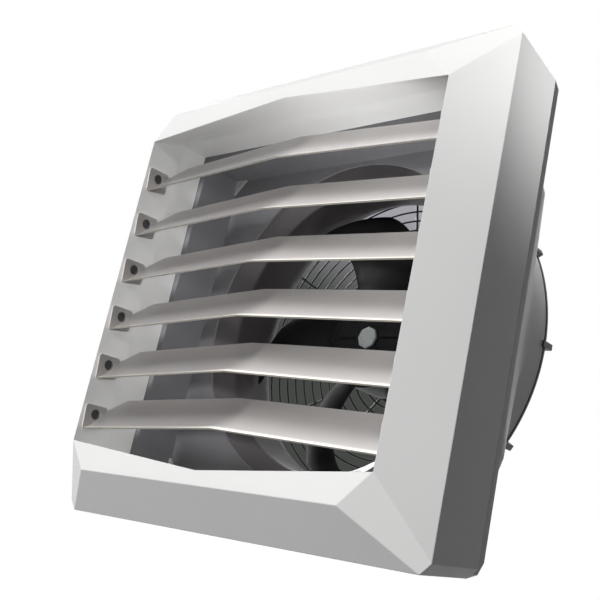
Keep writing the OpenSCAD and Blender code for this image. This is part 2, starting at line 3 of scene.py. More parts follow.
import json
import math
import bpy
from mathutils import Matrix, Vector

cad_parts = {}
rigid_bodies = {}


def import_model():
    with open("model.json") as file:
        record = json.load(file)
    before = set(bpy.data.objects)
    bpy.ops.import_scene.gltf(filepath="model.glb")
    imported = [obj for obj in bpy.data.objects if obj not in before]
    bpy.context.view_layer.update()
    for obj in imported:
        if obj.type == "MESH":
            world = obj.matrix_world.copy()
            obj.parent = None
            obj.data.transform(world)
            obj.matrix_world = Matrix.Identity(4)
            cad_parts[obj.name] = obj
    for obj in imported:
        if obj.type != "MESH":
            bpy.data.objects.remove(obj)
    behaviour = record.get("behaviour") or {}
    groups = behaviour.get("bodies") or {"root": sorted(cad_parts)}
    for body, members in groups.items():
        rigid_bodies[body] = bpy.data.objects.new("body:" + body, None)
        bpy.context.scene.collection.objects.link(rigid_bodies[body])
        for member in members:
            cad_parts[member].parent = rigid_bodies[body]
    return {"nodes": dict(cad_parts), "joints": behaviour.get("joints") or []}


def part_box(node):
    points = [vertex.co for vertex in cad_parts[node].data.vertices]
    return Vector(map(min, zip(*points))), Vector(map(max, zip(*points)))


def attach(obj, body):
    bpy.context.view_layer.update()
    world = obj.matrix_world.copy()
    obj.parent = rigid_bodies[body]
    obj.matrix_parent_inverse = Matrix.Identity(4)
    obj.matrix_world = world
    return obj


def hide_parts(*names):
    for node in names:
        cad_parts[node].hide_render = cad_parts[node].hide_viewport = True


bl_info = {
    "name": "Destratification fan",
    "version": (1, 0, 0),
    "blender": (4, 5, 0),
    "location": "3D View > Sidebar > Fan",
    "description": "Builds the casing, louvres, fan wheel, guard and terminal box round the packed frame",
    "category": "Object",
}

import bmesh
import bpy
from bpy.props import FloatProperty, FloatVectorProperty, IntProperty, PointerProperty, StringProperty
from bpy.types import Operator, Panel, PropertyGroup
from mathutils import Matrix, Vector

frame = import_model()

MM = 0.001
PANEL_LOW, PANEL_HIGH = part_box("front_panel")
SHELL_LOW, SHELL_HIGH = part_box("rear_casing")
DUCT_LOW, DUCT_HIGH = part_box("air_duct")
NOZZLE_LOW, NOZZLE_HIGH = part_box("fan_nozzle")
HUB_LOW, HUB_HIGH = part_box("fan_hub")
CAP_LOW, CAP_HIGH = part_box("hub_cap")
BOX_LOW, BOX_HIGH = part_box("terminal_box")
LID_LOW, LID_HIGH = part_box("terminal_lid")
PLATE_LOW, PLATE_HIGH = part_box("motor_plate")
LOUVRE_JOINTS = [j for j in frame["joints"] if j["child"].startswith("louvre_body")]
# Sizes that more than one piece shares, in metres
DRUM_TAPER = 10 * MM
DRUM_RUN = 83 * MM
HANG_INSET = 37.5 * MM
SCREW_INSET = 11.5 * MM
SCREW_SEAT = 8 * MM
CASING_SCREWS_X = (110 * MM, 240 * MM)
GUARD_INSET = 10 * MM
CLIP_INSET = 15 * MM
# Points nearer to each other than this are one point
MERGE = 0.01 * MM
# The rear shell's edges that bend by more than this many degrees stay sharp
SHELL_SHARP = 28
# The four corners of a square, as signs of x and z
SIGNS = ((-1, -1), (-1, 1), (1, -1), (1, 1))


def length(name, description, default):
    """A length property in metres."""
    return FloatProperty(name=name, description=description, default=default, unit="LENGTH", subtype="DISTANCE")


def degrees_angle(name, description, degrees):
    """An angle property, given in degrees."""
    return FloatProperty(name=name, description=description, default=math.radians(degrees), subtype="ANGLE")


def vector(name, description, default):
    """A property with three coordinates."""
    return FloatVectorProperty(name=name, description=description, default=default, subtype="XYZ")


def colour(name, description, default):
    """A colour property that holds an sRGB hex code."""
    return StringProperty(name=name, description=description, default=default)


class FanCasingSizes(PropertyGroup):
    """Sizes of the casing's two halves."""

    front_edge: length("Front edge", "Depth of the side walls' front edge", -0.150)
    side_rear: length("Side rear", "Depth at which the side walls end", PANEL_HIGH.y)
    opening_half_width: length("Opening half width", "From the axis to the side bars", 0.295)
    opening_half_side: length("Opening half height", "From the axis to the opening's corners", 0.251)
    opening_half_mid: length("Opening half height in the middle", "From the axis to the bars' points", 0.274)
    corner_cut: length("Corner cut", "Cut across each outside corner", 0.014)
    edge_round: length("Edge round", "Radius moulded on the outside edges", 0.0014)
    wall: length("Wall", "Thickness of the moulded walls", 0.004)
    drum_radius: length("Drum radius", "Radius of the round drum at its rear edge", 0.290)


class FanLouvreSizes(PropertyGroup):
    """Sizes of one louvre, counted from its pivot."""

    thickness: length("Thickness", "Thickness of the blade", 0.0024)
    ear_inner: length("Ear place", "Distance of the ears' inner faces from the middle", 0.291)
    ear_thickness: length("Ear thickness", "Thickness of the ears", 0.003)
    pivot_radius: length("Pivot radius", "Radius of the hole in the ear", 0.00805)
    edge_round: length("Edge round", "Radius on the blade's edges and folds", 0.0008)


class FanWheelSizes(PropertyGroup):
    """Sizes of the fan wheel."""

    hub_radius: length("Hub radius", "Radius of the black hub", HUB_HIGH.x)
    tip_radius: length("Tip radius", "Radius over the blade tips", 0.225)
    blade_thickness: length("Blade thickness", "Greatest thickness of a blade", 0.0034)
    blade_count: IntProperty(name="Blades", description="Number of fan blades", default=5, min=3, max=7)


class FanGuardSizes(PropertyGroup):
    """Sizes of the wire guard."""

    ring_pitch: length("Ring pitch", "Distance from ring to ring", 0.015)
    ring_wire: length("Ring wire", "Radius of the ring wire", 0.0015)
    strut_wire: length("Strut wire", "Radius of the strut wire", 0.002)
    strut_count: IntProperty(name="Struts", description="Number of struts and clips", default=12, min=6, max=16)


class FanColours(PropertyGroup):
    """Colours of the finishes, as sRGB hex codes."""

    casing: colour("Casing", "Moulded casing", "#E3E3E2")
    # The louvres' grey is darker than the casing's: partly their own tone, partly painted shade on the blades
    louvre: colour("Louvres", "Tilting louvres", "#CBC7C5")
    # The lips' paler colour is a painted highlight, where they catch more light than the blades
    lip: colour("Lips", "Front lips of the louvres", "#F0EBE0")
    # The duct's and the nozzle's greys are partly their own and partly painted shade inside the opening
    duct: colour("Air duct", "Liner behind the opening", "#77777A")
    nozzle: colour("Nozzle", "Cone and throat round the fan", "#6E6A6C")
    pivot: colour("Pivots", "Pivot heads in the ears", "#66676A")
    wheel: colour("Fan wheel", "Blades and hub", "#131416")
    cap: colour("Nose cap", "Disc on the hub's nose", "#C9CFD0")
    guard: colour("Guard", "Coated guard wire", "#1B1C1E")
    clip: colour("Clips", "Clips on the drum's rim", "#4A4B4E")
    box: colour("Terminal box", "Box and lid behind the motor", "#3B3D40")


class FanStageSettings(PropertyGroup):
    """Camera, lamps and floor."""

    camera_place: vector("Camera place", "Where the camera stands", (1.0264, -1.0935, -0.3859))
    camera_turn: degrees_angle("Turn", "Direction of the view round the vertical", 45.76)
    camera_tilt: degrees_angle("Tilt", "Upward tilt of the view", 15.28)
    camera_roll: degrees_angle("Roll", "Lean of the camera", 12.4)
    lens: FloatProperty(name="Lens", description="Focal length in millimetres on a 36 mm sensor", default=60.83)
    floor_height: length("Floor", "Height of the floor", -1.2)
    # The grey patch in the background behind the fan is painted shade, seen through the wheel and the guard
    painted_shade_direction: vector("Room", "Direction of the grey room behind the fan", (-0.66, 0.71, 0.235))
    painted_shade_reach: degrees_angle("Room reach", "Angle from its middle to its border", 10.6)
    ambient: FloatProperty(name="Ambient", description="Strength of the light from all round", default=0.045)


def linear_from_hex(code):
    """Turns an sRGB hex code into a linear colour."""
    channels = [int(code[i : i + 2], 16) / 255 for i in (1, 3, 5)]
    linear = [c / 12.92 if c <= 0.04045 else ((c + 0.055) / 1.055) ** 2.4 for c in channels]
    return (*linear, 1.0)


def add_node(tree, kind, settings=None, links=None):
    """Adds a node with its settings, which are sockets or properties, and links its inputs."""
    node = tree.nodes.new(kind)
    for key, value in (settings or {}).items():
        if isinstance(key, int) or key in node.inputs:
            node.inputs[key].default_value = value
        else:
            setattr(node, key, value)
    for key, source in (links or {}).items():
        tree.links.new(source, node.inputs[key])
    return node


def new_finish(name):
    """Makes an empty material, and gives its node tree and its object coordinates."""
    material = bpy.data.materials.new(name)
    material.use_nodes = True
    tree = material.node_tree
    tree.nodes.clear()
    return tree, add_node(tree, "ShaderNodeTexCoord").outputs["Object"]


def speckle(tree, place, size_mm, detail=2.0, roughness=0.5):
    """A noise whose blotches are about size_mm across."""
    settings = {"Scale": 1 / (size_mm * MM), "Detail": detail, "Roughness": roughness}
    return add_node(tree, "ShaderNodeTexNoise", settings, {"Vector": place}).outputs[0]


def spread(tree, source, low, high):
    """Maps a noise, which stays mostly between 0.3 and 0.7, to the values between low and high."""
    settings = {"From Min": 0.3, "From Max": 0.7, "To Min": low, "To Max": high}
    return add_node(tree, "ShaderNodeMapRange", settings, {"Value": source}).outputs["Result"]


def end_finish(tree, code, blotches, tone, gloss, relief, settings):
    """Ends a finish: a colour that its blotches make a little lighter and darker, a gloss and a relief."""
    shade = add_node(
        tree, "ShaderNodeHueSaturation", {"Color": linear_from_hex(code)},
        {"Value": spread(tree, blotches, 1 - tone, 1 + tone)},
    )
    shader = add_node(
        tree, "ShaderNodeBsdfPrincipled", settings,
        {"Base Color": shade.outputs[0], "Roughness": gloss, "Normal": relief.outputs[0]},
    )
    add_node(tree, "ShaderNodeOutputMaterial", None, {"Surface": shader.outputs[0]})


def moulded_plastic(name, code, roughness, grain_mm, grain_depth, tone=0.03, flow_mm=70, sheen=0.5):
    """Injection-moulded plastic: an even colour with a fine grain from the spark-eroded mould."""
    tree, place = new_finish(name)
    flow = speckle(tree, place, flow_mm, 3.0)
    grain = speckle(tree, place, grain_mm, 2.0, 0.6)
    relief = add_node(
        tree, "ShaderNodeBump", {"Strength": 0.6, "Distance": grain_depth * MM}, {"Height": grain}
    )
    gloss = spread(tree, speckle(tree, place, 9, 4.0), roughness - 0.05, roughness + 0.06)
    end_finish(tree, code, flow, tone, gloss, relief, {"IOR": 1.5, "Specular IOR Level": sheen})


def metal_finish(name, code, metallic, roughness, streak, streak_mm, depth, tone=0.08):
    """Metal with machining, drawing or coating marks, drawn longer along one way by streak."""
    tree, place = new_finish(name)
    stretched = add_node(tree, "ShaderNodeMapping", {"Scale": streak}, {"Vector": place}).outputs[0]
    marks = speckle(tree, stretched, streak_mm, 3.0, 0.6)
    relief = add_node(tree, "ShaderNodeBump", {"Strength": 0.5, "Distance": depth * MM}, {"Height": marks})
    gloss = spread(tree, marks, roughness - 0.06, roughness + 0.08)
    end_finish(tree, code, speckle(tree, place, 14, 3.0), tone, gloss, relief, {"Metallic": metallic})


def make_finishes(colours):
    """Makes every finish of the fan once, by its name.

    The numbers of a plastic are its roughness, its grain's width and depth in mm, the range of its tone, the
    width of its flow marks in mm and its sheen. Those of a metal are metallic, roughness, the stretch of its marks
    on each axis, their width and depth in mm, and the range of its tone.
    """
    # Light grey ABS: satin, almost even, with the fine grain of a spark-eroded mould that softens highlights
    moulded_plastic("ABS_moulded_light_grey", colours.casing, 0.46, 0.9, 0.05, 0.012, 110, 0.3)
    # The louvres are the same ABS in a warmer tone, darker than the casing partly as painted shade on the blades,
    # and a little glossier, so that their lips catch the light
    moulded_plastic("ABS_moulded_grey_and_painted_shade", colours.louvre, 0.4, 0.8, 0.04, 0.02, 60)
    # The louvres' front lips: the same plastic, a little smoother where air and fingers pass, in a paler and
    # creamier colour that is a painted highlight where they catch the light
    moulded_plastic("ABS_moulded_lip_painted_highlight", colours.lip, 0.36, 0.8, 0.03, 0.015, 60)
    # Polypropylene liner: mid grey and waxy, with slow blotches from the mould's flow. Its grey is partly its own
    # and partly painted shade deep in the opening
    moulded_plastic("Polypropylene_moulded_grey", colours.duct, 0.52, 1.1, 0.06, 0.05, 45)
    # Nozzle in darker polypropylene, with a faint warm cast. The darker grey is partly its own and partly painted
    # shade deep round the fan
    moulded_plastic("Polypropylene_moulded_dark", colours.nozzle, 0.48, 1.0, 0.06, 0.06, 50)
    # Acetal pivots: dark, smooth and slightly slick
    moulded_plastic("Acetal_moulded_dark", colours.pivot, 0.34, 0.6, 0.02, 0.05, 8)
    # Glass-filled nylon: near black, with short fibre speckles that break up its sheen
    moulded_plastic("Glass_filled_nylon_black", colours.wheel, 0.42, 1.4, 0.09, 0.18, 16, 0.2)
    # Pale ABS disc, smoother than the casing
    moulded_plastic("ABS_polished_pale", colours.cap, 0.28, 1.0, 0.02, 0.02, 10)
    # Nylon clips: dark grey with a dull shine
    moulded_plastic("Nylon_moulded_grey", colours.clip, 0.45, 0.7, 0.05, 0.06, 10)
    # Polycarbonate box: dark grey with a fine matt texture
    moulded_plastic("Polycarbonate_moulded_dark", colours.box, 0.5, 0.8, 0.07, 0.05, 20)
    # Melamine block: off white, hard and glossy
    moulded_plastic("Melamine_moulded_ivory", "#DAD6C9", 0.3, 0.6, 0.02, 0.03, 9)
    # Nylon gland: black, with a satin shine on its ribs
    moulded_plastic("Nylon_moulded_black", "#1D1E20", 0.36, 0.7, 0.04, 0.08, 8)
    # Black cataphoretic coating on pressed steel: thin, even and half glossy
    metal_finish("Steel_pressed_black_coated", "#202124", 0.0, 0.38, (1, 1, 1), 1.2, 0.05, 0.12)
    # Powder coat on drawn wire: fine orange peel
    metal_finish("Steel_wire_powder_coated", colours.guard, 0.0, 0.42, (1, 1, 1), 1.1, 0.06, 0.15)
    # Die-cast aluminium: soft grey, a little blotchy, with no clear direction
    metal_finish("Aluminium_die_cast", "#B9BBBD", 1.0, 0.42, (1, 1, 1), 2.2, 0.08, 0.1)
    # Ground bearing steel: bright, with hair-thin rings round the axis
    metal_finish("Steel_ground_bright", "#C6C8CA", 1.0, 0.2, (1, 14, 1), 4.0, 0.02, 0.05)
    # Zinc-plated steel: pale, slightly blue, with a soft sheen
    metal_finish("Steel_zinc_plated", "#C3C8CC", 1.0, 0.3, (1, 1, 1), 1.5, 0.03, 0.1)
    # Turned brass: yellow, with turning marks
    metal_finish("Brass_turned", "#C9A45C", 1.0, 0.26, (1, 12, 1), 3.0, 0.03, 0.08)


def finish(name):
    """The finish of that name."""
    return bpy.data.materials[name]


def ring_of(radius, depth, steps, middle=(0.0, 0.0)):
    """A ring of points round an axis along Y. The radius is a number, or a function of the angle."""
    points = []
    for k in range(steps):
        angle = math.tau * k / steps
        reach = radius(angle) if callable(radius) else radius
        points.append(Vector((middle[0] + reach * math.cos(angle), depth, middle[1] + reach * math.sin(angle))))
    return points


def skin_rings(work, rings, closed=False):
    """Skins a row of rings with equal counts. A closed row joins its ends, and an open one gets end faces."""
    rows = [[work.verts.new(p) for p in ring] for ring in rings]
    count = len(rows[0])
    pairs = list(zip(rows, rows[1:]))
    if closed:
        pairs.append((rows[-1], rows[0]))
    for near, far in pairs:
        for k in range(count):
            after = (k + 1) % count
            work.faces.new((near[k], near[after], far[after], far[k]))
    if not closed:
        work.faces.new(rows[0])
        work.faces.new(rows[-1][::-1])


def turned(work, profile, steps, middle=(0.0, 0.0), closed=False):
    """Turns a profile of pairs of a radius, as a number or a function of the angle, and a depth round Y."""
    skin_rings(work, [ring_of(r, y, steps, middle) for r, y in profile], closed)


def in_mm(points, depth=0.0):
    """A profile whose points are given in mm, with their depths counted from a place."""
    return [(r * MM, depth + y * MM) for r, y in points]


def more(reach, length_mm):
    """A reach that is longer by so many mm all round, or shorter if they are negative."""
    return lambda angle: reach(angle) + length_mm * MM


def polygon_reach(sides, size):
    """The reach of an even polygon with a corner at angle 0, as a function of the angle."""
    part = math.tau / sides
    return lambda angle: size * math.cos(part / 2) / math.cos((angle % part) - part / 2)


def skin_sheet(work, upper, lower):
    """Skins a sheet between two equal grids of points, and closes it round its border."""
    top = [[work.verts.new(p) for p in row] for row in upper]
    low = [[work.verts.new(p) for p in row] for row in lower]
    rows, cols = len(top), len(top[0])
    for r in range(rows - 1):
        for c in range(cols - 1):
            work.faces.new((top[r][c], top[r][c + 1], top[r + 1][c + 1], top[r + 1][c]))
            work.faces.new((low[r][c], low[r + 1][c], low[r + 1][c + 1], low[r][c + 1]))
    border = [(0, c) for c in range(cols - 1)] + [(r, cols - 1) for r in range(rows - 1)]
    border += [(rows - 1, c) for c in range(cols - 1, 0, -1)] + [(r, 0) for r in range(rows - 1, 0, -1)]
    for (r, c), (s, d) in zip(border, border[1:] + border[:1]):
        work.faces.new((top[s][d], top[r][c], low[r][c], low[s][d]))


def brick(work, low, high, place):
    """A box between two corners, turned by a matrix."""
    made = bmesh.ops.create_cube(work, size=1.0)["verts"]
    low, high = Vector(low), Vector(high)
    shape = Matrix.Translation((low + high) / 2) @ Matrix.Diagonal((*(high - low), 1.0))
    bmesh.ops.transform(work, matrix=place @ shape, verts=made)


def round_edges(work, radius, steps, over):
    """Rounds the edges whose faces meet at more than an angle in degrees."""
    limit = math.radians(over)
    chosen = [e for e in work.edges if len(e.link_faces) == 2 and e.calc_face_angle(0) > limit]
    bmesh.ops.bevel(
        work, geom=chosen, offset=radius, offset_type="OFFSET", segments=steps, profile=0.5, affect="EDGES",
        clamp_overlap=True
    )


def shade_smooth(work, sharp):
    """Shades a mesh smooth, apart from the edges that bend by more than an angle in degrees."""
    limit = math.radians(sharp)
    for f in work.faces:
        f.smooth = True
    for e in work.edges:
        e.smooth = len(e.link_faces) == 2 and e.calc_face_angle(0) < limit


def make_piece(name, work, body, finish_name, stands_for=(), sharp=35):
    """Turns a bmesh into a piece with its finish and shading, riding on a body."""
    bmesh.ops.recalc_face_normals(work, faces=work.faces)
    shade_smooth(work, sharp)
    mesh = bpy.data.meshes.new(name)
    work.to_mesh(mesh)
    work.free()
    mesh.materials.append(finish(finish_name))
    piece = bpy.data.objects.new(name, mesh)
    bpy.context.scene.collection.objects.link(piece)
    even = piece.modifiers.new("even_shading", "WEIGHTED_NORMAL")
    even.keep_sharp = True
    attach(piece, body)
    if stands_for:
        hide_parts(*stands_for)
    return piece


def keep_node(node, finish_name):
    """Gives a CAD node its finish."""
    slots = frame["nodes"][node].data.materials
    slots.clear()
    slots.append(finish(finish_name))


def turn_about_axis(angle):
    """A turn round the fan's axis."""
    return Matrix.Rotation(-angle, 4, "Y")


class FAN_OT_finishes(Operator):
    """Make the fan's finishes"""

    bl_idname = "fan.finishes"
    bl_label = "Finishes"

    def execute(self, context):
        make_finishes(context.scene.fan_colours)
        return {"FINISHED"}


def frame_ring(corner_a, corner_b, middle):
    """Ten mirrored points of one line round the frame, from the upper middle clockwise."""
    (ax, az, ay), (bx, bz, by), (mz, my) = corner_a, corner_b, middle
    return [
        Vector(p)
        for p in (
            (0, my, mz), (ax, ay, az), (bx, by, bz), (bx, by, -bz), (ax, ay, -az),
            (0, my, -mz), (-ax, ay, -az), (-bx, by, -bz), (-bx, by, bz), (-ax, ay, az),
        )
    ]


def cut_ring(half, cut, depth):
    """A line round the frame's outside, with a cut across each corner."""
    return frame_ring((half - cut, half, depth), (half, half - cut, depth), (half, depth))


def plain_ring(x, z, depth):
    """A line round the opening, straight from corner to corner."""
    return frame_ring((x, z, depth), (x, z, depth), (z, depth))


class FAN_OT_front_frame(Operator):
    """Build the deep bevelled front frame"""

    bl_idname = "fan.front_frame"
    bl_label = "Front frame"

    def execute(self, context):
        s = context.scene.fan_casing
        front, rear, duct = s.front_edge, s.side_rear, DUCT_LOW.y
        half, cut, wall = PANEL_HIGH.x, s.corner_cut, s.wall
        # The side walls draw in towards the back, so that the moulding comes out of its mould
        rear_half, rear_cut = half - 10.5 * MM, cut - MM
        bar, step, lip = front - 65 * MM, front - 4 * MM, 4 * MM
        side_x, side_z, mid_z = s.opening_half_width, s.opening_half_side, s.opening_half_mid
        ridge_x, ridge_z = side_x - 43 * MM, mid_z + 20 * MM
        inner = (side_x, side_z, bar + 2 * MM)
        rings = [
            cut_ring(rear_half, rear_cut, rear),
            cut_ring(half, cut, front),
            frame_ring((ridge_x, ridge_z, bar), inner, (ridge_z, bar)),
            frame_ring(inner, inner, (mid_z, bar - 0.6 * MM)),
            plain_ring(side_x, mid_z, step),
            plain_ring(side_x + lip, mid_z + 2 * MM, step),
            plain_ring(side_x + lip, mid_z + 2 * MM, duct),
            plain_ring(side_x + 2 * lip, mid_z + 6 * MM, duct),
            plain_ring(side_x + 2 * lip, mid_z + 6 * MM, step - wall),
            cut_ring(half - 4.5 * MM, cut - 2.5 * MM, front + wall),
            cut_ring(rear_half - wall, rear_cut + 2 * MM - wall, rear),
        ]
        work = bmesh.new()
        skin_rings(work, rings, closed=True)
        bmesh.ops.remove_doubles(work, verts=work.verts, dist=MERGE)
        bmesh.ops.dissolve_degenerate(work, edges=work.edges, dist=MERGE)
        uneven = [f for f in work.faces if len(f.verts) == 4 and self.is_bent(f)]
        self.split_bent(work, uneven, mid_z, step)
        round_edges(work, s.edge_round, steps=3, over=12)
        make_piece("front_frame", work, "casing", "ABS_moulded_light_grey", ["front_panel"])
        return {"FINISHED"}

    @staticmethod
    def is_bent(face):
        """True if a four-cornered face isn't flat."""
        a, b, c, d = [v.co for v in face.verts]
        normal = (b - a).cross(c - a)
        return normal.length > 0 and abs((d - a).dot(normal.normalized())) > 0.05 * MM

    @staticmethod
    def split_bent(work, faces, mid_z, step):
        """Splits bent faces. The roof's and the sill's fold runs from the bar's point to the rear corner."""
        for face in faces:
            places = [(v, v.co) for v in face.verts]
            points = [
                v for v, co in places if abs(co.x) < MM and abs(abs(co.z) - mid_z) < MM and co.y < step - MM
            ]
            at_step = [v for v, co in places if abs(co.x) > 0.2 and abs(co.y - step) < MM]
            if points and at_step:
                bmesh.utils.face_split(face, points[0], at_step[0])
            else:
                bmesh.ops.triangulate(work, faces=[face])


def square_reach(half, cut):
    """The reach of a square with cut corners, as a function of the angle."""

    def reach(angle):
        c, s = abs(math.cos(angle)), abs(math.sin(angle))
        return min(half / max(c, s), (2 * half - cut) / (c + s))

    return reach


def rounded_reach(half_x, half_z, corner):
    """The reach of a rectangle with round corners, as a function of the angle."""

    def reach(angle):
        c, s = abs(math.cos(angle)), abs(math.sin(angle))
        flat_x, flat_z = half_x - corner, half_z - corner
        low, high = 0.0, half_x + half_z
        for _ in range(32):
            middle = (low + high) / 2
            over_x, over_z = middle * c - flat_x, middle * s - flat_z
            if over_x > 0 and over_z > 0:
                inside = math.hypot(over_x, over_z) < corner
            else:
                inside = max(over_x, over_z) < corner
            low, high = (middle, high) if inside else (low, middle)
        return low

    return reach


class FAN_OT_rear_shell(Operator):
    """Build the square-to-round rear shell with its drum"""

    bl_idname = "fan.rear_shell"
    bl_label = "Rear shell"

    def execute(self, context):
        s = context.scene.fan_casing
        start, end, rear_half = SHELL_LOW.y, SHELL_HIGH.y, SHELL_HIGH.x
        lip, loft_end = start + 11 * MM, end - 48 * MM
        corner_cut = s.corner_cut - MM
        square = square_reach(rear_half, corner_cut)

        def drum_at(depth):
            """The drum's radius at a depth, which grows a little towards the front."""
            return s.drum_radius + DRUM_TAPER * (end - depth) / DRUM_RUN

        def reach_at(depth):
            """The shell's reach at a depth: a square whose corners grow round, blended into the drum."""
            share = min(1.0, (depth - lip) / (loft_end - lip))
            round_part = share * (s.drum_radius - MM)
            side = rear_half * (1 - share) + round_part
            rounded = rounded_reach(side, side, round_part)
            corner = 2 * side - corner_cut * (1 - share) - (2 - math.sqrt(2)) * round_part
            drum = drum_at(depth)
            sunk = max(0.0, depth - loft_end)
            soft = 2.2 * MM

            def reach(angle):
                loft = min(rounded(angle), corner / (abs(math.cos(angle)) + abs(math.sin(angle)))) - sunk
                gap = max(-30.0, min(30.0, (loft - drum) / soft))
                return drum + soft * math.log1p(math.exp(gap))

            return reach

        profile = [(square, start), (square, lip - 2 * MM)]
        profile += [(more(square, -0.3), lip - 0.6 * MM), (more(square, -1.1), lip + 0.5 * MM)]
        depth = lip + 3 * MM
        while depth < loft_end + 12 * MM:
            profile.append((reach_at(depth), depth))
            depth += 5 * MM
        for back, less in ((24, 0), (4, 0), (1.2, 0.25), (0, 1.2)):
            profile.append((drum_at(end - back * MM) - less * MM, end - back * MM))
        inside, border, shelf = s.drum_radius - 7 * MM, more(square, -26), start + 24 * MM
        profile += [(inside, end), (inside, shelf), (border, shelf), (border, start)]
        work = bmesh.new()
        turned(work, profile, steps=192, closed=True)
        shell = make_piece(
            "rear_shell", work, "casing", "ABS_moulded_light_grey", ["rear_casing"],
            sharp=SHELL_SHARP
        )
        hang, screw_z = rear_half - HANG_INSET, rear_half - SCREW_INSET
        bosses, pockets = bmesh.new(), bmesh.new()
        for sx, sz in SIGNS:
            # A hanging boss has a flat seat with a small round, and a draughted side
            boss = in_mm([(13, -26), (12.2, -6), (12, -0.8), (11.7, -0.2), (11.1, 0)])
            turned(bosses, boss, steps=40, middle=(sx * hang, sz * hang))
            turned(pockets, in_mm([(6, -25), (6, 3)]), steps=40, middle=(sx * hang, sz * hang))
            for x in CASING_SCREWS_X:
                pocket = [(5.5 * MM, start + SCREW_SEAT), (5.5 * MM, 0.03)]
                turned(pockets, pocket, steps=32, middle=(sx * x, sz * screw_z))
        self.join_or_cut(shell, bosses, "UNION")
        self.join_or_cut(shell, pockets, "DIFFERENCE")
        return {"FINISHED"}

    @staticmethod
    def join_or_cut(piece, work, way):
        """Joins a shape to a piece or cuts it out, and leaves the result in the piece's mesh."""
        bmesh.ops.recalc_face_normals(work, faces=work.faces)
        mesh = bpy.data.meshes.new("tool")
        work.to_mesh(mesh)
        work.free()
        tool = bpy.data.objects.new("tool", mesh)
        bpy.context.scene.collection.objects.link(tool)
        change = piece.modifiers.new("shape", "BOOLEAN")
        change.object, change.operation, change.solver = tool, way, "EXACT"
        piece.modifiers.move(len(piece.modifiers) - 1, 0)
        with bpy.context.temp_override(object=piece, active_object=piece):
            bpy.ops.object.modifier_apply(modifier="shape")
        bpy.data.objects.remove(tool)
        shaped = bmesh.new()
        shaped.from_mesh(piece.data)
        shade_smooth(shaped, SHELL_SHARP)
        shaped.to_mesh(piece.data)
        shaped.free()


class FAN_OT_nozzle(Operator):
    """Build the cone, the throat and the bell round the fan, and dress the air duct"""

    bl_idname = "fan.nozzle"
    bl_label = "Nozzle and air duct"

    def execute(self, context):
        front, back, rim = NOZZLE_LOW.y, NOZZLE_HIGH.y, NOZZLE_HIGH.x
        throat, skin = 231 * MM, 3 * MM
        throat_y, bell_y, bell = front + 28 * MM, back - 37 * MM, rim - 19 * MM

        def bell_line(inner, last):
            """A quarter of an ellipse, from the throat back and out towards the rim."""
            turns = [math.pi / 2 * k / 14 for k in range(15)]
            return [
                (bell - (bell - inner) * math.cos(a), bell_y + (last - bell_y) * math.sin(a)) for a in turns
            ]

        profile = in_mm([(276, 0), (257.5, 0), (256.2, 0.4), (255, 1.6)], front)
        profile += [(throat + r * MM, throat_y + y * MM) for r, y in ((2.5, -3.2), (0.7, -0.6), (0, 3))]
        profile += bell_line(throat, back)
        profile += [(rim - 0.8 * MM, back), (rim, back - 0.8 * MM), (rim, back - 4 * MM)]
        profile += bell_line(throat + skin, back - 4 * MM)[::-1]
        profile += [(throat + skin, throat_y + MM), (259 * MM, front + skin), (276 * MM, front + skin)]
        work = bmesh.new()
        turned(work, profile, steps=160, closed=True)
        bmesh.ops.remove_doubles(work, verts=work.verts, dist=MERGE)
        make_piece(
            "fan_nozzle_skin", work, "casing", "Polypropylene_moulded_dark", ["fan_nozzle"]
        )
        keep_node("air_duct", "Polypropylene_moulded_grey")
        return {"FINISHED"}


# Corners of a louvre's upper face at its ends, at its cut corners and in its middle, as depth and height in mm
LOUVRE_END = ((18, 12.7), (-8.2, -19.7), (-16, -24.2))
LOUVRE_CUT_REAR = (34, 32.6)
LOUVRE_MID = ((21.6, 42.5), (-11.7, -5.7), (-19.5, -10.2))
# Length of the cut at each end of a louvre's rear edge
LOUVRE_CUT_RUN = 25 * MM
# Width and depth in mm of the hollow along a louvre's back
HOLLOW_WIDTH = 60.0
HOLLOW_DEPTH = 2.4
# Corners of an ear round its pivot, as depth and height in mm, and the round on its edges in mm
EAR_OUTLINE = (
    (-15, -26.5), (-18, -24), (-21, 10.5), (-18, 13.5), (16, 15.5), (19, 12.5), (20, -16), (17.5, -19),
)
EAR_ROUND = 0.45


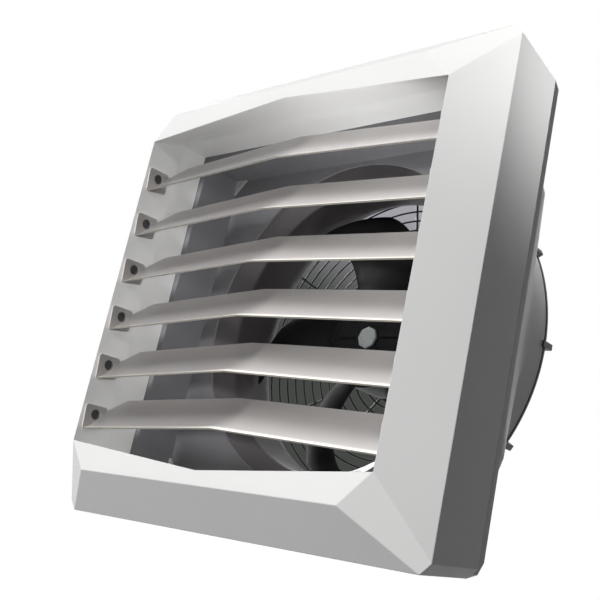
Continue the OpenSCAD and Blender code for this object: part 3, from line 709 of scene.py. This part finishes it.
class FAN_OT_louvres(Operator):
    """Build the six folded louvres with their ears"""

    bl_idname = "fan.louvres"
    bl_label = "Louvres"

    def execute(self, context):
        s = context.scene.fan_louvre
        for number, joint in enumerate(LOUVRE_JOINTS, 1):
            pivot = Vector((0.0, joint["pos_m"][1], joint["pos_m"][2]))
            work = bmesh.new()
            self.blade(work, s)
            round_edges(work, s.edge_round, steps=2, over=9)
            self.paint_lip_highlight(work, s)
            ears = bmesh.new()
            for side in (-1, 1):
                self.ear(ears, s, side)
            for part, mesh in (("blade", work), ("ears", ears)):
                bmesh.ops.translate(mesh, verts=mesh.verts, vec=pivot)
                piece = make_piece(
                    f"louvre_{part}_{number}", mesh, joint["child"], "ABS_moulded_grey_and_painted_shade",
                    [f"louvre_{number}"], 24
                )
                # The second slot holds the paler lip finish, a painted highlight
                piece.data.materials.append(finish("ABS_moulded_lip_painted_highlight"))
        return {"FINISHED"}

    def paint_lip_highlight(self, work, s):
        """Gives the faces in front of the blade's knee the paler lip finish, a painted highlight."""
        for face in work.faces:
            middle = face.calc_center_median()
            line = self.section(middle.x, s)
            knee, tip = line[-2], line[-1]
            out = tip - knee
            if (Vector((middle.y, middle.z)) / MM - knee).dot(out) > 0.1 * out.length_squared:
                face.material_index = 1

    def section(self, x, s):
        """The blade's upper line at a place across: rear edge, knee, lip and its rounded front."""
        end, cut = s.ear_inner, s.ear_inner - LOUVRE_CUT_RUN
        along = min(1.0, abs(x) / end)
        rear, knee, tip = [Vector(m).lerp(Vector(e), along) for m, e in zip(LOUVRE_MID, LOUVRE_END)]
        if abs(x) <= cut:
            rear = Vector(LOUVRE_MID[0]).lerp(Vector(LOUVRE_CUT_REAR), abs(x) / cut)
        else:
            rear = Vector(LOUVRE_CUT_REAR).lerp(Vector(LOUVRE_END[0]), (abs(x) - cut) / (end - cut))
        up = (rear - knee).normalized()
        out = (tip - knee).normalized()
        back = []
        for t in (0.0, 0.2, 0.4, 0.6, 0.8, 0.96):
            # A slightly hollow back, so that it turns paler towards the lip
            share = min(1.0, (1 - t) * (rear - knee).length / HOLLOW_WIDTH)
            back.append(rear.lerp(knee, t) + Vector((up.y, -up.x)) * HOLLOW_DEPTH * 4 * share * (1 - share))
        bend = [knee + up * 0.7 + out * 0.2, knee + up * 0.2 + out * 0.7, knee + out * 2.0]
        return [*back, *bend, tip]

    def blade(self, work, s):
        """The folded sheet, as thick all over."""
        cut = s.ear_inner - LOUVRE_CUT_RUN
        inner = [cut * k / 9 for k in range(1, 10)]
        places = [-s.ear_inner] + [-x for x in inner[::-1]] + [0.0] + inner + [s.ear_inner]
        down = Vector((0.7, -0.714)) * s.thickness / MM
        lines = [(x, self.section(x, s)) for x in places]
        upper = [[Vector((x, p[0] * MM, p[1] * MM)) for p in line] for x, line in lines]
        lower = [[Vector((x, (p + down)[0] * MM, (p + down)[1] * MM)) for p in line] for x, line in lines]
        skin_sheet(work, upper, lower)

    def ear(self, work, s, side):
        """The plate at a louvre's end, with its pivot hole."""
        points = [Vector(p) * MM for p in EAR_OUTLINE]
        angles = {round(math.tau * k / 40, 5) for k in range(40)}
        angles = sorted(angles | {round(math.atan2(p[1], p[0]) % math.tau, 5) for p in points})

        def outline(angle):
            """The ear's reach from the pivot: the nearest side that a ray meets."""
            ray = Vector((math.cos(angle), math.sin(angle)))
            reach = 1.0
            for p, q in zip(points, points[1:] + points[:1]):
                edge = q - p
                across = ray.x * edge.y - ray.y * edge.x
                if abs(across) > 1e-9:
                    t = (p.x * edge.y - p.y * edge.x) / across
                    u = (p.x * ray.y - p.y * ray.x) / across
                    if t > 0 and -1e-6 <= u <= 1 + 1e-6:
                        reach = min(reach, t)
            return reach

        def loop(x, reach):
            reaches = [(a, reach(a) if callable(reach) else reach) for a in angles]
            return [Vector((x, r * math.cos(a), r * math.sin(a))) for a, r in reaches]

        # A hair's gap keeps the ear's face apart from the blade's end
        inner, outer = side * (s.ear_inner + 0.001 * MM), side * (s.ear_inner + s.ear_thickness)
        shift, small = side * EAR_ROUND * MM, more(outline, -EAR_ROUND)
        hole, wide = s.pivot_radius, s.pivot_radius + EAR_ROUND * MM
        rows = [(inner, small), (inner + shift, outline), (outer - shift, outline), (outer, small)]
        rows += [(outer, wide), (outer - shift, hole), (inner + shift, hole), (inner, wide)]
        skin_rings(work, [loop(x, reach) for x, reach in rows], closed=True)


class FAN_OT_pivots(Operator):
    """Build the pivot heads that the louvres' ears turn on"""

    bl_idname = "fan.pivots"
    bl_label = "Pivots"

    def execute(self, context):
        work = bmesh.new()
        head = context.scene.fan_louvre.ear_inner + 0.5 * MM
        wall = context.scene.fan_casing.opening_half_width
        profile = [
            (5.0, 11 * MM + wall), (5.0, wall), (7.95, wall), (7.95, head + 0.4 * MM), (7.6, head), (6.7, head),
            (6.3, head + 0.4 * MM), (6.1, head + 2.6 * MM), (2.2, head + 2.9 * MM), (2.0, head + 2.2 * MM),
        ]
        for joint in LOUVRE_JOINTS:
            for side in (-1, 1):
                rings = [(side * x, ring_of(r * MM, 0.0, 40, joint["pos_m"][1:])) for r, x in profile]
                skin_rings(work, [[Vector((x, p.x, p.z)) for p in ring] for x, ring in rings])
        make_piece("pivot_pins", work, "casing", "Acetal_moulded_dark", ["louvre_pins"])
        return {"FINISHED"}


class FAN_OT_wheel(Operator):
    """Build the fan wheel: swept blades, hub and nose cap"""

    bl_idname = "fan.wheel"
    bl_label = "Fan wheel"

    def execute(self, context):
        s = context.scene.fan_wheel
        work = bmesh.new()
        for k in range(s.blade_count):
            self.blade(work, s, math.tau * k / s.blade_count)
        make_piece("wheel_blades", work, "rotor", "Glass_filled_nylon_black", ["fan_blades"], 50)
        self.hub(s)
        self.cap()
        return {"FINISHED"}

    def blade_point(self, s, t, u, side):
        """A point of a blade. t runs from the hub to the tip, u from edge to edge, side is a face."""
        front = HUB_LOW.y + 2 * MM
        out = (s.tip_radius - s.hub_radius + MM) * t
        radius = s.hub_radius - MM + out
        pitch = math.radians(36 + (20 - 36) * t)
        chord = (100 + 46 * t) * MM
        near_tip = max(0.0, (t - 0.86) / 0.14)
        narrow = 1 - 0.09 * (1 - math.sqrt(max(0.0, 1 - near_tip * near_tip)))
        v = (u - 0.5) * narrow
        # Thick in the middle, round at its edges, and thicker at the root, where it flows into the hub
        edge = max(0.0, 1 - abs(2 * v) ** 6)
        root = 1 + 1.6 * math.exp(-t * 22)
        lift = 7 * MM * (1 - 4 * v * v) + side * s.blade_thickness / 2 * (0.12 + 0.88 * math.sqrt(edge)) * root
        turn = v * chord * math.cos(pitch) - lift * math.sin(pitch)
        depth = v * chord * math.sin(pitch) + lift * math.cos(pitch)
        angle = math.radians(90 + 24 * t * t) + turn / radius
        y = front + 30 * MM - 0.145 * out - depth
        return Vector((radius * math.cos(angle), y, radius * math.sin(angle)))

    def blade(self, work, s, turn):
        """One blade, skinned over its two faces."""
        rows, cols = 22, 25
        place = turn_about_axis(turn)
        # The points crowd together at the blade's edges, which are round
        across = [0.5 - 0.5 * math.cos(math.pi * c / (cols - 1)) for c in range(cols)]
        along = [r / (rows - 1) for r in range(rows)]
        faces = [
            [[place @ self.blade_point(s, t, u, side) for u in across] for t in along] for side in (1, -1)
        ]
        skin_sheet(work, *faces)

    def hub(self, s):
        """The hub: a raised face with ribs, and a drum open at the back."""
        front, back, r = HUB_LOW.y, HUB_HIGH.y, s.hub_radius
        work = bmesh.new()
        profile = in_mm([(8.5, 1.2), (22, 1.2), (23, 0.2), (24, 0)], front)
        profile += in_mm([(63, 0), (66.5, 0.3), (68, 1.4), (69, 2)], front)
        profile += [(r - less * MM, front + y * MM) for less, y in ((3, 2.1), (1.2, 2.7), (0.3, 4), (0, 5.5))]
        profile += [(r, back - 1.5 * MM), (r - 1.5 * MM, back), (70.8 * MM, back), (70 * MM, back - MM)]
        profile += in_mm([(70, 8), (8.5, 8)], front)
        turned(work, profile, steps=128, closed=True)
        for k in range(10):
            low, high = (26 * MM, front, -0.9 * MM), (61 * MM, front + MM, 0.9 * MM)
            brick(work, low, high, turn_about_axis(math.tau * k / 10))
        make_piece("wheel_hub", work, "rotor", "Glass_filled_nylon_black", ["fan_hub"])

    def cap(self):
        """The pale eight-sided nose cap, with a turned face."""
        work = bmesh.new()
        front = CAP_LOW.y
        sides = in_mm([(18, 0.9), (17.7, 0.25), (17, 0)], front)
        profile = [(polygon_reach(8, size), y) for size, y in [(18 * MM, CAP_HIGH.y), *sides]]
        profile += in_mm([(12, 0), (11.4, 0.5), (4.6, 0.6), (4.2, 0.2), (1, 0.1)], front)
        turned(work, profile, steps=64)
        make_piece("nose_cap", work, "rotor", "ABS_polished_pale", ["hub_cap"])


class FAN_OT_motor(Operator):
    """Dress the motor's shaft, bearings, stator and carrying plate"""

    bl_idname = "fan.motor"
    bl_label = "Motor"

    def execute(self, context):
        keep_node("motor_shaft", "Steel_ground_bright")
        keep_node("motor_bearings", "Steel_ground_bright")
        keep_node("motor_stator", "Aluminium_die_cast")
        keep_node("motor_plate", "Steel_pressed_black_coated")
        return {"FINISHED"}


class FAN_OT_guard(Operator):
    """Build the wire guard: rings, struts and their welds"""

    bl_idname = "fan.guard"
    bl_label = "Guard"

    def execute(self, context):
        s = context.scene.fan_guard
        drum = context.scene.fan_casing.drum_radius
        rim_y, plate_r, plate_y = NOZZLE_HIGH.y, PLATE_HIGH.x, PLATE_HIGH.y
        # The wires are pressed into each other where they are welded
        pressed = 0.2 * MM
        strut_in = Vector((plate_r - 2 * MM, plate_y + s.strut_wire + 0.4 * MM))
        strut_out = Vector((drum - GUARD_INSET, rim_y + 5 * MM + s.strut_wire - pressed))
        slope = (strut_out.y - strut_in.y) / (strut_out.x - strut_in.x)
        drop = (s.ring_wire + s.strut_wire - pressed) * math.sqrt(1 + slope * slope)
        places = [turn_about_axis(math.tau * k / s.strut_count) for k in range(s.strut_count)]
        rings = bmesh.new()
        self.wire_ring(rings, drum - GUARD_INSET, rim_y + 2.5 * MM, 2.5 * MM)
        self.wire_ring(rings, plate_r - 4 * MM, plate_y + s.strut_wire - 0.05 * MM, s.strut_wire)
        first = plate_r + 10 * MM
        count = int((drum - CLIP_INSET - 2 * s.ring_wire - first) / s.ring_pitch)
        for k in range(count + 1):
            r = first + k * s.ring_pitch
            y = strut_in.y + (r - strut_in.x) * slope
            self.wire_ring(rings, r, y - drop, s.ring_wire)
            for place in places:
                self.weld(rings, place, Vector((r, y - drop * 0.52, 0)))
        finish_of_wire = "Steel_wire_powder_coated"
        make_piece("guard_ring_wires", rings, "casing", finish_of_wire, ["guard_rings"], 60)
        struts = bmesh.new()
        tip = strut_out + (strut_out - strut_in).normalized() * 3 * MM
        for place in places:
            self.strut(struts, place, strut_in, tip, s.strut_wire)
        make_piece("guard_strut_wires", struts, "casing", finish_of_wire, ["guard_struts"], 60)
        return {"FINISHED"}

    @staticmethod
    def wire_ring(work, radius, depth, wire):
        """A ring of round wire."""
        turns = [math.tau * k / 10 for k in range(10)]
        profile = [(radius + wire * math.cos(a), depth + wire * math.sin(a)) for a in turns]
        turned(work, profile, steps=144, closed=True)

    @staticmethod
    def weld(work, place, point):
        """A small flattened weld between a ring and a strut."""
        made = bmesh.ops.create_icosphere(work, subdivisions=2, radius=1.0)["verts"]
        shape = Matrix.Translation(point) @ Matrix.Diagonal((2.0 * MM, 1.3 * MM, 2.1 * MM, 1.0))
        bmesh.ops.transform(work, matrix=place @ shape, verts=made)

    @staticmethod
    def strut(work, place, start, end, wire):
        """A straight strut with rounded ends."""
        way = (end - start).normalized()
        side = Vector((-way.y, way.x))
        tip = ((0, 0.3), (0.3, 0.75), (1, 1))
        rings = [(start + way * along * wire, size * wire) for along, size in tip]
        rings += [(end - way * along * wire, size * wire) for along, size in tip[::-1]]
        turns = [math.tau * k / 14 for k in range(14)]

        def point(c, r, a):
            flat = c + side * r * math.cos(a)
            return place @ Vector((flat.x, flat.y, r * math.sin(a)))

        skin_rings(work, [[point(c, r, a) for a in turns] for c, r in rings])


class FAN_OT_clips(Operator):
    """Build the moulded clips that hold the guard on the drum's rim"""

    bl_idname = "fan.clips"
    bl_label = "Clips"

    def execute(self, context):
        drum = context.scene.fan_casing.drum_radius
        count = context.scene.fan_guard.strut_count
        rim_y = NOZZLE_HIGH.y
        wide, out = 4.5 * MM, 4.5 * MM
        work = bmesh.new()
        for k in range(count):
            place = turn_about_axis(math.tau * k / count)
            brick(work, (drum - CLIP_INSET, rim_y, -wide), (drum + out, rim_y + 12 * MM, wide), place)
            brick(work, (drum + 1.2 * MM, rim_y - 11 * MM, -wide), (drum + out, rim_y + MM, wide), place)
        round_edges(work, MM, steps=3, over=40)
        make_piece("guard_clip_set", work, "casing", "Nylon_moulded_grey", ["guard_clips"])
        return {"FINISHED"}


def screw_head(work, middle, seat, radius, height, key_radius):
    """A pan head with a hexagonal socket, standing on its seat and facing the back."""
    pan = ((1, 0), (1, 0.45), (0.93, 0.75), (0.78, 0.95), (0.66, 1))
    socket = ((1.1, 0), (1, 0.1), (1, 0.6), (0.4, 0.7))
    profile = [(radius * r, seat + height * y) for r, y in pan]
    profile += [(polygon_reach(6, key_radius * r), seat + height - height * y) for r, y in socket]
    turned(work, profile, steps=36, middle=middle)


def screw_shank(work, middle, tip, seat, radius):
    """A plain shank from its tip to its head."""
    turned(work, [(radius * 0.6, tip), (radius, tip + radius * 0.7), (radius, seat)], steps=24, middle=middle)


class FAN_OT_screws(Operator):
    """Build the casing, motor, guard and lid screws"""

    bl_idname = "fan.screws"
    bl_label = "Screws"

    def execute(self, context):
        screw_z = SHELL_HIGH.x - SCREW_INSET
        casing = [(sx * x, sz * screw_z) for sx in (-1, 1) for x in CASING_SCREWS_X[::sx] for sz in (-1, 1)]
        motor = self.circle(HUB_HIGH.x - 16 * MM, 4, 45)
        clip_r = context.scene.fan_casing.drum_radius - 3.5 * MM
        clips = self.circle(clip_r, context.scene.fan_guard.strut_count, 0)
        lid = [(sx * (LID_HIGH.x - 6 * MM), sz * (LID_HIGH.z - 6 * MM)) for sx, sz in SIGNS]
        rim = NOZZLE_HIGH.y
        seat = SHELL_LOW.y + SCREW_SEAT
        self.row("casing", casing, SHELL_LOW.y - 25 * MM, seat, shank=2.5, head=5, height=3.5, key=2.3)
        self.row("motor", motor, PLATE_LOW.y - 12 * MM, PLATE_HIGH.y, shank=3, head=5, height=4, key=2.6)
        self.row("guard", clips, rim - 14 * MM, rim + 12 * MM, shank=2, head=2.8, height=2, key=1.3)
        self.row("lid", lid, BOX_HIGH.y - 10 * MM, LID_HIGH.y, shank=1.5, head=3, height=2, key=1.4)
        return {"FINISHED"}

    @staticmethod
    def circle(radius, count, first):
        """Places spaced evenly on a circle, from a first angle in degrees."""
        turns = [math.radians(first) + math.tau * k / count for k in range(count)]
        return [(radius * math.cos(a), radius * math.sin(a)) for a in turns]

    @staticmethod
    def row(kind, places, tip, seat, shank, head, height, key):
        """A set of like screws. Their shanks', heads' and keys' radii and the heads' height are in mm."""
        work = bmesh.new()
        for middle in places:
            screw_shank(work, middle, tip, seat, shank * MM)
            screw_head(work, middle, seat, head * MM, height * MM, key * MM)
        make_piece(f"{kind}_screw_set", work, "casing", "Steel_zinc_plated", [f"{kind}_screws"])


class FAN_OT_inserts(Operator):
    """Build the threaded hanging inserts"""

    bl_idname = "fan.inserts"
    bl_label = "Hanging inserts"

    def execute(self, context):
        hang = SHELL_HIGH.x - HANG_INSET
        work = bmesh.new()
        core, crest, pitch = 3.4 * MM, 3.95 * MM, 1.25 * MM
        profile = in_mm([(5.95, -25), (5.95, -0.5), (5.5, 0), (4.6, 0)])
        depth = -0.8 * MM
        while depth > -23 * MM:
            profile += [(crest, depth), (core, depth - pitch / 2)]
            depth -= pitch
        profile.append((core, -25 * MM))
        for sx, sz in SIGNS:
            turned(work, profile, steps=32, middle=(sx * hang, sz * hang), closed=True)
        make_piece(
            "hanging_insert_set", work, "casing", "Brass_turned", ["hanging_inserts"], sharp=20
        )
        return {"FINISHED"}


class FAN_OT_terminal_box(Operator):
    """Build the terminal box with its lid, block and cable gland"""

    bl_idname = "fan.terminal_box"
    bl_label = "Terminal box"

    def execute(self, context):
        self.box()
        self.lid()
        keep_node("terminal_block", "Melamine_moulded_ivory")
        keep_node("gland_nut", "Nylon_moulded_black")
        self.gland()
        return {"FINISHED"}

    def box(self):
        """The open box, with round corners and a wire hole in its floor."""
        front, back = BOX_LOW.y, BOX_HIGH.y
        half_x, half_z, wall, hole = BOX_HIGH.x, BOX_HIGH.z, 2.5 * MM, 9 * MM
        outer = rounded_reach(half_x, half_z, 4 * MM)
        inner = rounded_reach(half_x - wall, half_z - wall, 2 * MM)
        profile = [(hole, front), (more(outer, -0.8), front), (outer, front + 0.8 * MM)]
        profile += [(outer, back - 0.4 * MM), (more(outer, -0.4), back)]
        profile += [(more(inner, 0.2), back), (inner, back - 0.4 * MM)]
        profile += [(inner, front + wall), (hole, front + wall)]
        work = bmesh.new()
        turned(work, profile, steps=128, closed=True)
        make_piece(
            "terminal_box_body", work, "casing", "Polycarbonate_moulded_dark", ["terminal_box"]
        )

    def lid(self):
        """The lid: a plate with rounded edges and a sunk field."""
        front, back = LID_LOW.y + 2 * MM, LID_HIGH.y
        outer = rounded_reach(LID_HIGH.x, LID_HIGH.z, 4 * MM)
        field = rounded_reach(LID_HIGH.x - 15 * MM, LID_HIGH.z - 6 * MM, 3 * MM)
        profile = [(outer, front), (outer, back - 1.2 * MM), (more(outer, -0.35), back - 0.4 * MM)]
        profile += [(more(outer, -1.2), back), (more(field, 1.2), back)]
        profile += [(more(field, 0.6), back - 0.6 * MM), (field, back - 0.7 * MM)]
        work = bmesh.new()
        turned(work, profile, steps=128)
        make_piece(
            "terminal_box_lid", work, "casing", "Polycarbonate_moulded_dark", ["terminal_lid"]
        )

    @staticmethod
    def gland():
        """The cable gland: a thread, a hexagon and a fluted dome nut with its mouth down."""
        low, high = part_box("cable_gland")
        seat = BOX_LOW.z
        middle = ((low.x + high.x) / 2, (low.y + high.y) / 2)

        def fluted(size):
            return lambda a: size * (1 - 0.035 * (0.5 + 0.5 * math.cos(18 * a)))

        profile = [(4.5 * MM, high.z), (7.3 * MM, high.z), (7.95 * MM, high.z - 0.8 * MM), (7.95 * MM, seat)]
        nut = ((0.96, 0), (1, -0.6), (1, -6.4), (0.95, -7))
        profile += [(polygon_reach(6, 12.7 * MM * size), seat + z * MM) for size, z in nut]
        profile += in_mm([(10.4, -7), (10.4, -7.6)], seat)
        profile += [(fluted(size), z) for size, z in in_mm([(10.9, -8.2), (10.4, -13), (9.6, -16)], seat)]
        profile += in_mm([(8.2, 0.3), (7.4, 0), (5.2, 0), (4.5, 0.8)], low.z)
        work = bmesh.new()
        # The rings lie round an axis along Y, and are turned to the gland's upright axis
        rings = [ring_of(reach, height, 72, middle) for reach, height in profile]
        skin_rings(work, [[p.xzy for p in ring] for ring in rings], closed=True)
        make_piece("cable_gland_body", work, "casing", "Nylon_moulded_black", ["cable_gland"])


class FAN_OT_stage(Operator):
    """Set up the floor, the lamps, the background and the camera"""

    bl_idname = "fan.stage"
    bl_label = "Stage"

    def execute(self, context):
        s = context.scene.fan_stage
        scene = context.scene
        scene.view_settings.view_transform = "Standard"
        self.background(scene, s)
        self.floor(scene, s)
        self.lamps(scene)
        camera = bpy.data.objects.new("camera", bpy.data.cameras.new("camera"))
        scene.collection.objects.link(camera)
        camera.data.lens = s.lens
        camera.data.clip_start, camera.data.clip_end = 0.05, 50
        turn = Matrix.Rotation(s.camera_turn, 4, "Z") @ Matrix.Rotation(math.pi / 2 + s.camera_tilt, 4, "X")
        camera.matrix_world = Matrix.Translation(s.camera_place) @ turn @ Matrix.Rotation(s.camera_roll, 4, "Z")
        scene.camera = camera
        return {"FINISHED"}

    def lamps(self, scene):
        """Each lamp lights some pieces only, as with flags in a studio, and a few are shaded by some only."""
        blades = [o for o in scene.objects if o.name.startswith("louvre_blade")]
        others = [o for o in scene.objects if o.type == "MESH" and o not in blades]
        front, shell = bpy.data.objects["front_frame"], bpy.data.objects["rear_shell"]
        inside = [front, frame["nodes"]["air_duct"]]
        # After its name, each lamp has its place and its target in metres
        key = self.lamp("key_lamp", (0.15, -5.9, 1.8), (0.0, -0.1, 0.0), size=1.5, power=400)
        self.light_only(key, others)
        top = self.lamp("top_lamp", (0.2, -0.9, 2.6), (0.0, -0.15, 0.0), size=1.5, power=46)
        self.light_only(top, blades, [*blades, front])
        fill = self.lamp("fill_lamp", (0.4, -3.0, 0.3), (0.0, -0.1, 0.0), size=1.0, power=12)
        self.light_only(fill, blades, blades)
        low_sun = self.sun("low_sun", (0.96, 0.16, 0.2), spread_angle=1.0, strength=26)
        self.light_only(low_sun, blades, blades)
        # Its half space ends at the corner of the roof and the right wall, so that the right wall doesn't clip
        inner = self.spot(
            "inner_spot", (0.1, -0.15, 0.02), (-0.72, -0.15, 0.592), cone=180, blend=0.15, size=0.05, power=1.9
        )
        self.light_only(inner, inside, [front])
        corner = self.spot(
            "corner_spot", (2.0, 0.0, 0.33), (0.35, -0.04, 0.36), cone=18, blend=1.0, size=0.12, power=100
        )
        self.light_only(corner, [front])
        drum = self.spot(
            "drum_spot", (1.3, 0.5, 0.85), (0.25, 0.15, 0.22), cone=11, blend=1.0, size=0.12, power=75
        )
        self.light_only(drum, [shell])
        back = self.lamp("back_lamp", (-3.4, 2.0, 1.6), (0.0, 0.1, 0.0), size=1.5, power=170)
        self.light_only(back, [o for o in others if not o.name.startswith("wheel")])

    @staticmethod
    def unlit_rays(tree):
        """1 for rays from the camera and for rays seen in metal or glass, else 0."""

        def either(one, other):
            return add_node(tree, "ShaderNodeMath", {"operation": "MAXIMUM"}, {0: one, 1: other}).outputs[0]

        rays = add_node(tree, "ShaderNodeLightPath").outputs
        return either(either(rays["Is Camera Ray"], rays["Is Glossy Ray"]), rays["Is Transmission Ray"])

    def background(self, scene, s):
        """A white background with a painted shade patch behind the fan, and a plain even light for the object."""
        world = bpy.data.worlds.new("studio")
        scene.world = world
        world.use_nodes = True
        tree = world.node_tree
        tree.nodes.clear()
        toward = add_node(tree, "ShaderNodeTexCoord").outputs["Generated"]
        height = add_node(tree, "ShaderNodeSeparateXYZ", None, {0: toward}).outputs["Z"]
        # More of the light from all round comes from above than from below
        ambient = add_node(
            tree, "ShaderNodeMapRange",
            {"From Min": -0.7, "From Max": 0.7, "To Min": 0.3 * s.ambient, "To Max": 1.7 * s.ambient},
            {"Value": height},
        )
        light = add_node(
            tree, "ShaderNodeMapRange", {"To Max": 1.0},
            {"Value": self.unlit_rays(tree), "To Min": ambient.outputs["Result"]},
        )
        # A painted shade patch: the background is grey, darker below and paler above, where it shows through the
        # wheel and the guard behind the fan, and white round that
        near = add_node(
            tree, "ShaderNodeVectorMath",
            {"operation": "DOT_PRODUCT", 1: Vector(s.painted_shade_direction).normalized()}, {0: toward},
        )
        patch = add_node(
            tree, "ShaderNodeMapRange",
            {"From Min": math.cos(s.painted_shade_reach), "From Max": math.cos(0.8 * s.painted_shade_reach)},
            {"Value": near.outputs["Value"]},
        )
        level = add_node(tree, "ShaderNodeMapRange", {"From Min": 0.275, "From Max": 0.36}, {"Value": height})
        painted_shade = add_node(
            tree, "ShaderNodeMix",
            {"data_type": "RGBA", 6: linear_from_hex("#454845"), 7: linear_from_hex("#A3A1A8")},
            {0: level.outputs["Result"]},
        )
        shown = add_node(
            tree, "ShaderNodeMix", {"data_type": "RGBA", 6: (1, 1, 1, 1)},
            {0: patch.outputs["Result"], 7: painted_shade.outputs[2]},
        )
        sky = add_node(
            tree, "ShaderNodeBackground", None, {"Color": shown.outputs[2], "Strength": light.outputs["Result"]}
        )
        add_node(tree, "ShaderNodeOutputWorld", None, {"Surface": sky.outputs[0]})

    def floor(self, scene, s):
        """A wide pale floor, which keeps its shadows and runs out into white."""
        tree = new_finish("Studio_floor_pale")[0]
        sheet = add_node(
            tree, "ShaderNodeBsdfPrincipled", {"Base Color": linear_from_hex("#404042"), "Roughness": 0.9}
        )
        # A little under white, so that the lamps bring it up to white and the fan's shadow shows
        level = add_node(tree, "ShaderNodeMath", {"operation": "MULTIPLY", 1: 0.96}, {0: self.unlit_rays(tree)})
        glow = add_node(tree, "ShaderNodeEmission", None, {"Strength": level.outputs[0]})
        both = add_node(tree, "ShaderNodeAddShader", None, {0: sheet.outputs[0], 1: glow.outputs[0]})
        add_node(tree, "ShaderNodeOutputMaterial", None, {"Surface": both.outputs[0]})
        work = bmesh.new()
        place = Matrix.Translation((0, 0, s.floor_height))
        bmesh.ops.create_grid(work, x_segments=1, y_segments=1, size=12, matrix=place)
        mesh = bpy.data.meshes.new("floor")
        work.to_mesh(mesh)
        work.free()
        mesh.materials.append(finish("Studio_floor_pale"))
        sheet_object = bpy.data.objects.new("floor", mesh)
        scene.collection.objects.link(sheet_object)

    @staticmethod
    def aimed(name, light, place, target):
        """Puts a light at its place and turns it to its target."""
        lamp = bpy.data.objects.new(name, light)
        bpy.context.scene.collection.objects.link(lamp)
        lamp.location = place
        lamp.rotation_euler = (Vector(target) - Vector(place)).to_track_quat("-Z", "Y").to_euler()
        return lamp

    @staticmethod
    def light_only(lamp, objects, shadows_of=None):
        """Keeps a lamp's light to some objects, and its shadows to those of some where they are given."""
        for role, chosen in (("receiver", objects), ("blocker", shadows_of)):
            if chosen is not None:
                group = bpy.data.collections.new(f"{lamp.name}_{role}s")
                for o in chosen:
                    group.objects.link(o)
                setattr(lamp.light_linking, f"{role}_collection", group)

    def lamp(self, name, place, target, size, power):
        """A square soft lamp that faces its target."""
        light = bpy.data.lights.new(name, "AREA")
        light.size, light.energy = size, power
        return self.aimed(name, light, place, target)

    def sun(self, name, direction, spread_angle, strength):
        """Parallel light from a direction, which takes each fold of the louvres at the same angle."""
        light = bpy.data.lights.new(name, "SUN")
        light.angle, light.energy = math.radians(spread_angle), strength
        return self.aimed(name, light, direction, (0.0, 0.0, 0.0))

    def spot(self, name, place, target, cone, blend, size, power):
        """A spotlight with a soft border, whose cone is given in degrees."""
        light = bpy.data.lights.new(name, "SPOT")
        light.spot_size, light.spot_blend = math.radians(cone), blend
        light.shadow_soft_size, light.energy = size, power
        return self.aimed(name, light, place, target)


STEPS = (
    FAN_OT_finishes, FAN_OT_front_frame, FAN_OT_rear_shell, FAN_OT_nozzle, FAN_OT_louvres, FAN_OT_pivots,
    FAN_OT_wheel, FAN_OT_motor, FAN_OT_guard, FAN_OT_clips, FAN_OT_screws, FAN_OT_inserts, FAN_OT_terminal_box,
    FAN_OT_stage,
)
GROUPS = {
    "fan_casing": FanCasingSizes,
    "fan_louvre": FanLouvreSizes,
    "fan_wheel": FanWheelSizes,
    "fan_guard": FanGuardSizes,
    "fan_colours": FanColours,
    "fan_stage": FanStageSettings,
}


class FAN_PT_sidebar(Panel):
    """Lists the fan's pieces and sizes"""

    bl_label = "Destratification fan"
    bl_idname = "FAN_PT_sidebar"
    bl_space_type = "VIEW_3D"
    bl_region_type = "UI"
    bl_category = "Fan"

    def draw(self, context):
        for step in STEPS:
            self.layout.operator(step.bl_idname)
        for name in GROUPS:
            group = getattr(context.scene, name)
            box = self.layout.box()
            for key in group.__annotations__:
                box.prop(group, key)


def register():
    for cls in (*GROUPS.values(), *STEPS, FAN_PT_sidebar):
        bpy.utils.register_class(cls)
    for name, cls in GROUPS.items():
        setattr(bpy.types.Scene, name, PointerProperty(type=cls))


def unregister():
    for name in GROUPS:
        delattr(bpy.types.Scene, name)
    for cls in reversed((*GROUPS.values(), *STEPS, FAN_PT_sidebar)):
        bpy.utils.unregister_class(cls)


def main():
    """Builds the whole fan and its stage."""
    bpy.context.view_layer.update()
    register()
    for step in STEPS:
        area, name = step.bl_idname.split(".")
        getattr(getattr(bpy.ops, area), name)()


if __name__ == "__main__":
    main()
